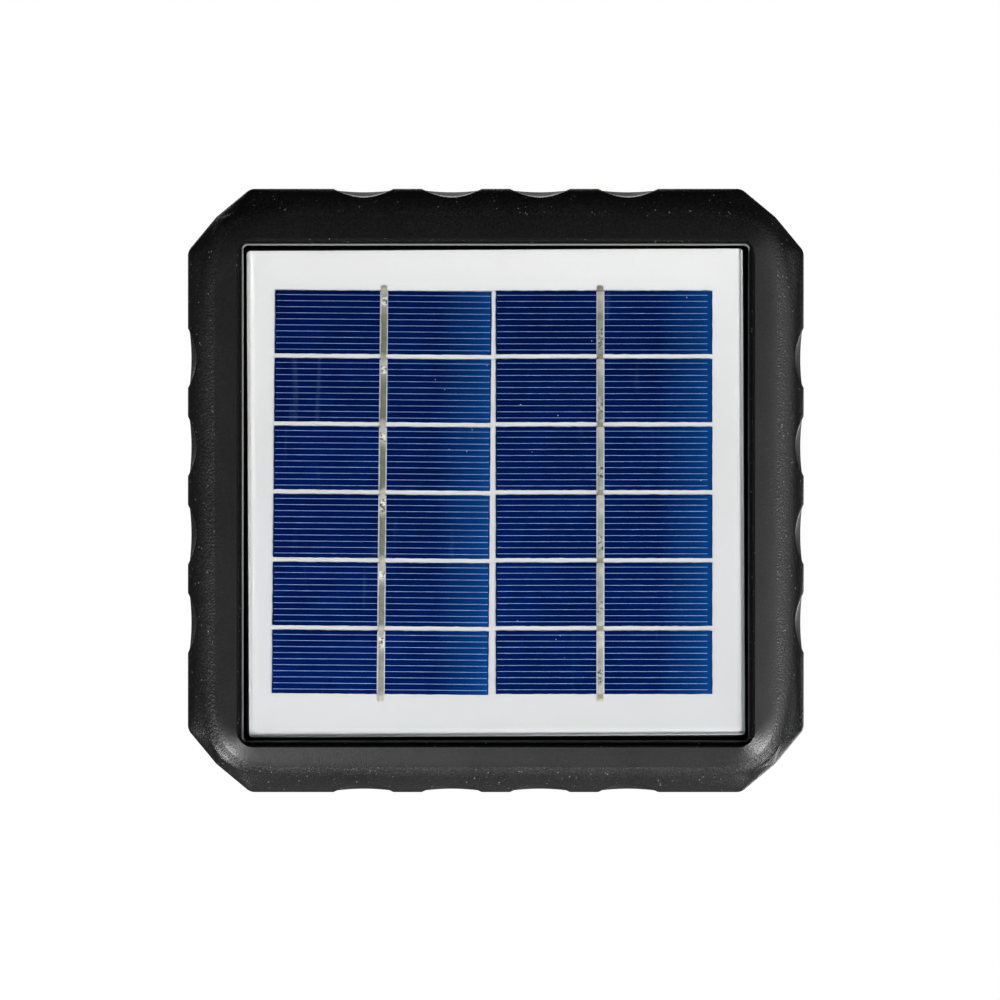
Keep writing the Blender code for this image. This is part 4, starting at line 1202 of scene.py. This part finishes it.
def terminal(side, finishes):
    """Insulating collar, threaded stud, clamp washer and fluted thumb knob."""
    color = {"fence": "red", "ground": "green"}[side]
    foot = Vector((middle(f"{side}_terminal_stud").x, TERMINAL_Y, BODY_FLOOR))
    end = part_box(f"{side}_terminal_stud")[0].z - BODY_FLOOR
    parts = (
        ("collar", terminal_collar(), color, f"{color}_plastic", ROOT),
        ("stud", terminal_stud(end), "steel", "steel", ROOT),
        ("washer", clamp_washer(), "steel", "steel", f"{side}_clamp"),
        ("knob", thumb_knob(), color, f"{color}_plastic", f"{side}_knob"),
    )
    for part, mesh, finish, slot, body in parts:
        piece(f"{side}_{part}", moved(mesh, foot), finishes[finish], (f"{side}_terminal_{part}",), body)


def power_switch(finishes):
    """A rocker switch: its black case, and a rocker with a bar and a ring printed on its two wings."""
    foot = Vector((0.0, TERMINAL_Y, BODY_FLOOR))
    flange_low = -0.0021
    case = soft_box((-0.0105, -0.0075, flange_low), (0.0105, 0.0075, -GAP), 0.0006, 4)
    case = new_object("switch_case", moved(case, foot), [finishes["black"]])
    join(case, moved(box((-0.0093, -0.0062, -0.0010), (0.0093, 0.0062, 0.0140)), foot))
    well = moved(box((-0.0088, -0.0055, flange_low - CLEAR), (0.0088, 0.0055, 0.0052)), foot)
    pivot = foot + Vector((0.0, 0.0, -0.0011))
    cut(case, well, rod(pivot - Vector((0, 0.0060, 0)), pivot + Vector((0, 0.0060, 0)), 0.0011))
    show(case, ("switch_body",))

    def face(x):
        return -0.0010 - 0.0010 * abs(x / 0.0081) ** 1.6

    steps = 16
    wings = [0.0081 * (2 * i / steps - 1) for i in range(steps + 1)]
    section = [(x, face(x)) for x in wings] + [(0.0080, -0.0014), (0.0065, 0.0035), (-0.0065, 0.0035)]
    section.append((-0.0080, -0.0014))
    rings = []
    for y, shrink in ((-0.0052, 0.94), (-0.0049, 1.0), (0.0049, 1.0), (0.0052, 0.94)):
        rings.append([Vector((x * shrink, y, 0.0008 + (z - 0.0008) * shrink)) for x, z in section])
    rocker = loft(rings)
    bar = soft_box((-0.0056, -0.0002, face(0.0056)), (-0.0036, 0.0002, face(0.0036) + 0.0004), 0.0001)
    append(rocker, bar, 1)
    rim = [(0.0011, -0.0001), (0.0011, 0.0006), (0.0008, 0.0006), (0.0008, -0.0001)]
    ring = placed(turned(rim, 32, closed=True), (0.0046, 0.0, face(0.0046) - 0.00002), (0.10, 0.0, 1.0))
    append(rocker, ring, 1)
    append(rocker, rod((0.0, -0.0058, 0.0), (0.0, 0.0058, 0.0), 0.0008, 24), 0)
    tilt = Matrix.Translation(pivot) @ Matrix.Rotation(radians(-12), 4, "Y")
    bmesh.ops.transform(rocker, matrix=tilt, verts=rocker.verts)
    coats = [finishes["red"], finishes["print"]]
    piece("rocker_cap", rocker, coats, ("switch_rocker",), "rocker")


def pulse_light(finishes):
    """The domed light that blinks with each pulse, its rim inside the housing."""
    radius, rim, inside = 0.0025, 0.0032, WALL + GAP
    steps = [radians(85 - 17 * i) for i in range(6)]
    profile = [(radius * cos(a), -0.0022 - radius * sin(a)) for a in steps]
    profile += [(radius, inside), (rim, inside), (rim, inside + 0.0012), (radius, inside + 0.0014)]
    led = moved(turned(profile, 40), (LED_X, TERMINAL_Y, BODY_FLOOR))
    piece("pulse_dome", led, finishes["light"], ("pulse_led",))


# ---- battery bay ----
BARE = 1  # the bare metal under a sleeve


def stepped(stations, steps):
    """A turned solid with bare ends, from (radius, along, finish of the band that follows)."""
    slots = [BARE] + [slot for across, along, slot in stations[1:-1]] + [BARE]
    return turned([(across, along) for across, along, slot in stations], steps, slots=slots)


def saddle(x, seat, low, high, cells):
    """One rib across the tray, hollowed where the two cells lie."""
    half, margin, top = 0.0007, 0.0006, low.y + 0.0060
    rib = new_object("saddle", box((x - half, seat, low.z + margin), (x + half, top, high.z - margin)))
    cut(rib, *[rod((x - 0.002, c.y, c.z), (x + 0.002, c.y, c.z), 0.0095, 64) for c in cells])
    made = bmesh.new()
    made.from_mesh(rib.data)
    bpy.data.meshes.remove(rib.data)
    return made


def battery_bay(finishes):
    """The open tray with its saddles, two cells, and the contacts at the tray's ends."""
    low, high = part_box("battery_holder")
    wall = 0.0014

    def tray_ring(shrink, radius, y):
        return rounded(high.x - shrink, low.z + shrink, high.z - shrink, (radius, radius), y, 5)

    rings = [tray_ring(0.0004, 0.0014, low.y), tray_ring(0.0, 0.0018, low.y + 0.0004)]
    rings += [tray_ring(0.0, 0.0018, high.y - 0.0003), tray_ring(0.0003, 0.0015, high.y)]
    tray = new_object("cell_tray", loft(rings), [finishes["black"]])
    cut(tray, loft([tray_ring(wall, 0.0006, y) for y in (low.y + wall, high.y + CLEAR)]))
    cells = [middle(f"battery_cell_{i}") for i in (1, 2)]
    join(tray, *[saddle(x, low.y + wall - 0.0004, low, high, cells) for x in (-0.0200, 0.0, 0.0200)])
    show(tray, ("battery_holder",))
    for number in (1, 2):
        battery_cell(number, finishes)
    spring_plate(cells, finishes)
    contact_plate(cells, finishes)


def battery_cell(number, finishes):
    """A sleeved cell: bare metal ends, the sleeve rolled over them, and a white washer round the button."""
    sleeve, washer, band = 0, 2, 3
    node = f"battery_cell_{number}"
    low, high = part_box(node)
    radius, length = (high.z - low.z) / 2, high.x - low.x
    button = length - 0.0014
    stations = (
        (0.0030, 0.0002, BARE),
        (0.0075, 0.0, sleeve),
        (radius - 0.0003, 0.00015, sleeve),
        (radius, 0.0006, sleeve),
        (radius, 0.0150, band),
        (radius, 0.0200, sleeve),
        (radius, button - 0.0012, sleeve),
        (radius - 0.0003, button - 0.0004, sleeve),
        (radius - 0.0016, button - 0.0001, washer),
        (0.0066, button - 0.0002, washer),
        (0.0044, button, BARE),
        (0.0040, button + 0.0003, BARE),
        (0.0038, length - 0.0002, BARE),
        (0.0034, length, BARE),
    )
    place = middle(node)
    mesh = placed(stepped(stations, 72), (low.x, place.y, place.z), (1, 0, 0))
    coats = [finishes[coat] for coat in ("sleeve", "nickel", "print", "band")]
    piece(f"sleeved_cell_{number}", mesh, coats, (node,))


CONTACT_SHEET = 0.0005


def contact_strip(node, inner_x):
    """The flat nickel strip that the contacts of the bay are pressed from."""
    low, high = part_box(node)
    near, far = sorted((inner_x, inner_x + (CONTACT_SHEET if inner_x > 0 else -CONTACT_SHEET)))
    return soft_box((near, low.y, low.z), (far, high.y, high.z), 0.00015, 2)


def spring_plate(cells, finishes):
    """A contact strip with a tapered coil spring for each cell's flat end."""
    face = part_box("battery_spring_plate")[0].x + CONTACT_SHEET
    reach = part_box("battery_cell_1")[0].x - face - 0.0001
    plate = contact_strip("battery_spring_plate", face)
    wire, turns, steps = 0.0004, 4, 160
    across = [2 * pi * i / 8 for i in range(8)]
    for cell in cells:
        rings = []
        for i in range(steps + 1):
            share = i / steps
            angle = 2 * pi * turns * share
            along = face + wire * 0.6 + (reach - wire * 1.6) * min(1.0, max(0.0, share * 1.3 - 0.15))
            out = Vector((0.0, cos(angle), sin(angle)))
            centre = Vector((along, cell.y, cell.z)) + out * (0.0048 - 0.0020 * share)
            rings.append([centre + wire * (cos(t) * out + sin(t) * Vector((1, 0, 0))) for t in across])
        append(plate, loft(rings))
    piece("spring_contacts", plate, finishes["nickel"], ("battery_spring_plate",), smooth=50)


def contact_plate(cells, finishes):
    """A contact strip with a pressed dimple for each cell's button."""
    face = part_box("battery_contact_plate")[1].x - CONTACT_SHEET
    plate = contact_strip("battery_contact_plate", face)
    for cell in cells:
        profile = [(0.0044 * cos(a) + 0.0002, 0.0009 * sin(a)) for a in QUARTER]
        append(plate, placed(turned(profile, 40), (face, cell.y, cell.z), (-1, 0, 0)))
    piece("dimple_contacts", plate, finishes["nickel"], ("battery_contact_plate",), smooth=40)


# ---- electronics ----
def circuit_board(finishes):
    """The board, drilled for its two screws."""
    low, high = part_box("circuit_board")
    rings = [rounded(high.x, low.z, high.z, (0.0012, 0.0012), y, 5) for y in (low.y, high.y)]
    board = new_object("etched_board", loft(rings), [finishes["board"]])
    cut(board, *[through(p.x, p.z, low.y - CLEAR, high.y + CLEAR, 0.0016, 24) for p in screws_at("board", 2)])
    show(board, ("circuit_board",))
    small_parts(high.y, finishes)


def small_parts(seat, finishes):
    """Chips, resistors and a controller on the board, in the space that the tall parts leave."""
    parts = bmesh.new()

    def chip(x, z, half_x, half_z, bottom, top, slot, edge=0.0001, segments=2):
        low, high = (x - half_x, seat + bottom, z - half_z), (x + half_x, seat + top, z + half_z)
        append(parts, soft_box(low, high, edge, segments), slot)

    chips = [(-0.0280 + 0.0080 * i, -0.0735, 0.0016, 0.0008) for i in range(8)]
    chips += [(-0.0520, -0.0340 + 0.0070 * i, 0.0008, 0.0016) for i in range(6)]
    chips += [(-0.0070 + 0.0075 * i, 0.0068, 0.0016, 0.0008) for i in range(6)]
    for x, z, half_x, half_z in chips:
        core_x, core_z = (half_x * 0.66, half_z) if half_x > half_z else (half_x, half_z * 0.66)
        chip(x, z, half_x, half_z, 0.0, 0.0007, 1)
        chip(x, z, core_x, core_z, 0.0, 0.0009, 0)
    x, z, pins, pin_pitch = 0.0500, -0.0245, 8, 0.00127
    chip(x, z, 0.0030, 0.0055, 0.0002, 0.0019, 0, 0.0003, 3)
    for i in range(pins):
        along = z + (i - (pins - 1) / 2) * pin_pitch
        for side in (-1, 1):
            near, far = sorted((x + side * 0.0029, x + side * 0.0042))
            append(parts, box((near, seat, along - 0.0002), (far, seat + 0.0003, along + 0.0002)), 1)
    piece("board_small_parts", parts, [finishes["black"], finishes["tin"]])


def transformer(finishes):
    """The ferrite core with its two windows, and the coil wound through them."""
    low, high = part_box("transformer_core")
    core = new_object("ferrite_core", soft_box(low, high, 0.0006, 3), [finishes["ferrite"]])
    place = (low + high) / 2
    windows = []
    for side in (-1, 1):
        near, far = sorted((side * 0.0040, side * 0.0102))
        windows.append(box(place + Vector((near, -0.006, -0.0090)), place + Vector((far, 0.006, 0.0090))))
    cut(core, *windows)
    show(core, ("transformer_core",))
    half_z, layers, bulge = 0.0087, 24, 0.0003
    rings = []
    for i in range(2 * layers + 1):
        shrink = bulge if i % 2 == 0 else 0.0
        z = half_z * (i / layers - 1)
        rings.append((0.0099 - shrink, 0.0081 - shrink, 0.0015, z))
    rings += [(0.0043, 0.0048, 0.0002, half_z), (0.0043, 0.0048, 0.0002, -half_z)]
    loops = []
    for half_x, half_y, radius, z in rings:
        corners = rounded(half_x, -half_y, half_y, (radius, radius), 0.0, 5)
        loops.append([place + Vector((corner.x, corner.z, z)) for corner in corners])
    coil = loft(loops, closed=True)
    piece("wound_coil", coil, finishes["winding"], ("transformer_coil",), smooth=60)


def storage_capacitor(finishes):
    """The sleeved can on its side, with the groove that holds its seal."""
    low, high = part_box("storage_capacitor")
    place = middle("storage_capacitor")
    length = high.x - low.x
    stations = [(0.0070, 0.0004, BARE), (0.0080, 0.0, 0), (0.0088, 0.0004, 0), (0.0090, 0.0010, 0)]
    stations += [(0.0090, 0.0022, 0), (0.0085, 0.0028, 0), (0.0084, 0.0031, 0), (0.0085, 0.0034, 0)]
    stations += [(0.0090, 0.0040, 0), (0.0090, length - 0.0010, 0), (0.0086, length - 0.0002, 0)]
    sunk = length - 0.0004
    stations += [(0.0078, length, BARE), (0.0072, sunk, BARE), (0.0010, sunk, BARE)]
    can = placed(stepped(stations, 64), (low.x, place.y, place.z), (1, 0, 0))
    piece("capacitor_can", can, [finishes["sleeve"], finishes["nickel"]], ("storage_capacitor",))


def switching_thyristor(finishes):
    """The thyristor's moulded body and its bored metal tab."""
    low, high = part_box("switching_thyristor")
    body_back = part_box("circuit_board")[1].y + 0.0095
    body = soft_box(low, (high.x, body_back, high.z), 0.0004)
    made = new_object("thyristor", body, [finishes["black"], finishes["tin"]])
    join(made, soft_box((high.x - 0.0012, low.y + 0.004, low.z), high, 0.0002, 2))
    hole = (low.x, high.y - 0.0030, (low.z + high.z) / 2)
    cut(made, rod(hole, (high.x + CLEAR, hole[1], hole[2]), 0.0017))
    show(made, ("switching_thyristor",))


# ---- studio ----
LENS = 450.0
SENSOR = 36.0
VIEW_WIDTH = 0.2398  # across the picture at the front of the frame
CAMERA_X = 0.0010
CAMERA_DROP = 0.0023  # of the view's middle below the frame's


def camera():
    """The camera, level and square to the front, its view as wide as VIEW_WIDTH at the crest."""
    data = bpy.data.cameras.new("camera")
    data.lens = LENS
    data.sensor_width = SENSOR
    data.clip_end = 100.0
    made = bpy.data.objects.new("camera", data)
    bpy.context.scene.collection.objects.link(made)
    made.location = (CAMERA_X, CREST_Y - VIEW_WIDTH * LENS / SENSOR, FRAME_Z - CAMERA_DROP)
    made.rotation_euler = (pi / 2, 0.0, 0.0)
    bpy.context.scene.camera = made


LIT_POINT = Vector((0.0, -0.03, -0.04))


def softbox(name, place, width, height, power):
    """A rectangular lamp that looks at the object and isn't seen itself."""
    data = bpy.data.lights.new(name, "AREA")
    data.shape = "RECTANGLE"
    data.size = width
    data.size_y = height
    data.energy = power
    made = bpy.data.objects.new(name, data)
    bpy.context.scene.collection.objects.link(made)
    made.location = place
    made.rotation_euler = (LIT_POINT - Vector(place)).to_track_quat("-Z", "Y").to_euler()
    made.visible_camera = False


def surroundings():
    """A white studio to the eye. The object sees a dim room, darker above and to the left."""
    n = Nodes("studio", "worlds", "Background", "World Output")
    n.set(Color=(1.0, 1.0, 1.0), Strength=1.0)
    slope = n.add("ShaderNodeVectorMath", operation="DOT_PRODUCT")
    slope.inputs[1].default_value = (0.28, 0.85, -0.45)
    n.link(n.coordinates.node.outputs["Generated"], slope.inputs[0])
    share = n.math("ADD", n.math("MULTIPLY", slope.outputs["Value"], 0.5), 0.5)
    lit = n.add("ShaderNodeBackground")
    n.link(n.ramp(share, (0.15, 0.004), (0.95, 0.07)), lit.inputs["Color"])
    n.blend(n.seen(), lit.outputs[0], n.shader.outputs[0])
    bpy.context.scene.world = n.made


FLOOR_Z = -1.9
FLOOR_RADIUS = 9.0


def floor():
    """A pale floor far below. To the eye it is lit like the studio, and the object sees it dim."""
    n = Nodes("pale_floor")
    cloud = n.noise(3.0, 2.0)
    n.set(Base_Color=n.ramp(cloud, (0.3, 0.90), (0.7, 0.93)), Roughness=0.9)
    shown = n.add("ShaderNodeEmission")
    n.link(n.ramp(cloud, (0.3, (0.84, 0.84, 0.845)), (0.7, (0.87, 0.87, 0.875))), shown.inputs["Color"])
    n.blend(n.seen(), n.shader.outputs[0], shown.outputs[0])
    mesh = bmesh.new()
    mesh.faces.new([mesh.verts.new(point) for point in circle(FLOOR_RADIUS, FLOOR_Z, 96)])
    new_object("floor", mesh, [n.made])


def studio():
    """The camera, the surroundings, the floor and the lamps."""
    bpy.context.scene.view_settings.view_transform = "Standard"
    camera()
    surroundings()
    floor()
    softbox("front_right", (0.73, -1.22, -0.65), 0.26, 0.26, 19.0)
    softbox("front_left", (-0.70, -1.10, -0.72), 0.24, 0.24, 13.5)
    softbox("corner_right", (1.10, -0.52, -1.12), 0.26, 0.26, 12.0)
    softbox("corner_left", (-1.13, -0.42, -1.14), 0.24, 0.24, 19.0)
    softbox("near_left", (-0.12, -0.50, -0.28), 0.10, 0.10, 0.34)
    softbox("near_right", (0.22, -0.20, -0.42), 0.10, 0.10, 0.26)
    softbox("right", (1.35, -1.15, -0.02), 1.5, 1.1, 9.0)
    softbox("left", (-1.5, -1.0, -0.1), 0.9, 1.2, 0.4)
    softbox("rear_low", (1.0, 1.6, -0.7), 1.0, 1.0, 13.0)
    softbox("rear_top", (-0.4, 1.9, 0.65), 1.2, 1.0, 6.0)


# ---- the whole energizer ----
RIBBONS = {
    "left": {
        "tones": [(0.08, (0.34, 0.34, 0.29)), (0.35, (0.19, 0.21, 0.15)), (0.93, (0.24, 0.245, 0.16))],
        "zone": (0.84, 1.03),
        "solder": [(0.38, (0.03, 0.028, 0.02)), (0.46, (0.34, 0.33, 0.26)), (0.56, (0.90, 0.90, 0.84))],
        "patch": 0.0,
    },
    "right": {
        "tones": [(0.08, (0.50, 0.49, 0.42)), (0.45, (0.34, 0.39, 0.33)), (0.93, (0.29, 0.33, 0.26))],
        "zone": (0.27, 0.53),
        "solder": [(0.42, (0.04, 0.04, 0.03)), (0.48, (0.30, 0.32, 0.27)), (0.60, (0.52, 0.52, 0.47))],
        "patch": 0.75,
    },
}


def make_finishes():
    """Every finish, by the name that the parts call it."""
    shell = (0.0045, 0.0045, 0.0047)
    # recess: the shell's colour darkened as painted shade, for the lip's recess and inner walls that lie in
    # shade
    recess = (0.0032, 0.0032, 0.0034)
    return {
        "shell": moulded_plastic("shell_grained", shell, 0.00007, 2100, (0.30, 0.42), 0.36, 0.11),
        "shell_smooth": moulded_plastic("shell_fine", shell, 0.00002, 2600, (0.30, 0.35), 0.36),
        "shell_wall": moulded_plastic("shell_wall", shell, 0.00005, 2100, (0.5, 0.65), 0.2, 0.08),
        "shell_painted_shade": moulded_plastic("shell_recess_painted_shade", recess, 0.00003, 1800, (0.6, 0.75), 0.05, 0.08),
        "bead": bead_with_painted_highlight("bead_with_painted_highlight"),
        "glass": clear_pane("clear_glass"),
        "backsheet": white_sheet("white_laminate"),
        "finger": printed_silver("finger_print", (0.24, 0.36, 0.72)),
        "busbar": printed_silver("busbar_print", (0.66, 0.68, 0.72)),
        "steel": metal("stainless_steel", (0.56, 0.57, 0.58), brush=(1.0, 1.0, 8.0)),
        "zinc": metal("zinc_plate", (0.58, 0.60, 0.61), (0.28, 0.45), spangle=0.45),
        "black": moulded_plastic("black_plastic", (0.012, 0.012, 0.013), 0.00002, 1800, gloss=0.4),
        "red": satin_plastic("red_plastic", (0.42, 0.012, 0.012)),
        "green": satin_plastic("green_plastic", (0.012, 0.17, 0.045)),
        "rubber": foam_rubber("foam_rubber", (0.02, 0.02, 0.02)),
        "print": printed_silver("white_print", (0.72, 0.72, 0.70)),
        "light": tinted_lens("pulse_lens", (0.55, 0.02, 0.015)),
        "sleeve": satin_plastic("blue_sleeve", (0.02, 0.055, 0.20), (0.25, 0.35)),
        "band": satin_plastic("grey_sleeve_band", (0.35, 0.36, 0.38), (0.25, 0.35)),
        "nickel": metal("nickel_plate", (0.62, 0.59, 0.54), brush=(1.0, 6.0, 1.0)),
        "tin": metal("tinned_copper", (0.60, 0.60, 0.57), (0.3, 0.5)),
        "board": etched_board("circuit_board_green"),
        "ferrite": moulded_plastic("sintered_ferrite", (0.05, 0.05, 0.055), 0.00004, 1600, (0.5, 0.7), 0.4),
        "winding": wound_wire("enamelled_copper", (0.50, 0.19, 0.07)),
        "ribbon_left": solder_ribbon("tinned_ribbon_left", **RIBBONS["left"]),
        "ribbon_right": solder_ribbon("tinned_ribbon_right", **RIBBONS["right"]),
    }


def main():
    """Builds the parts from the front to the back, then the studio."""
    finishes = make_finishes()
    front_frame(finishes)
    panel(finishes)
    generator = random.Random(7)
    for number in range(1, 13):
        solar_cell(number, finishes, generator)
    for side in ("left", "right"):
        ribbon(side, finishes, generator)
    rear_housing(finishes)
    battery_door(finishes)
    hinge_pin(finishes)
    post_bracket(finishes)
    zinc = finishes["zinc"]
    pan_screws([f"housing_screw_{i}" for i in (1, 2, 3, 4)], (0, -1, 0), 0.0030, 0.0022, 0.0015, 0.0140, zinc)
    pan_screws([f"bracket_screw_{i}" for i in (1, 2, 3, 4)], (0, -1, 0), 0.0027, 0.0020, 0.0014, 0.0085, zinc)
    pan_screws(["board_screw_1", "board_screw_2"], (0, 1, 0), 0.0026, 0.0018, 0.0012, 0.0090, zinc)
    for side in ("fence", "ground"):
        terminal(side, finishes)
    power_switch(finishes)
    pulse_light(finishes)
    battery_bay(finishes)
    circuit_board(finishes)
    transformer(finishes)
    storage_capacitor(finishes)
    switching_thyristor(finishes)
    for node in ("panel_seal", "housing_gasket", "battery_door_seal"):
        coat(node, finishes["rubber"])
    for node, color in (("fence", "red"), ("ground", "green"), ("panel", "black"), ("battery", "black")):
        coat(f"{node}_lead", finishes[color])
    studio()


main()
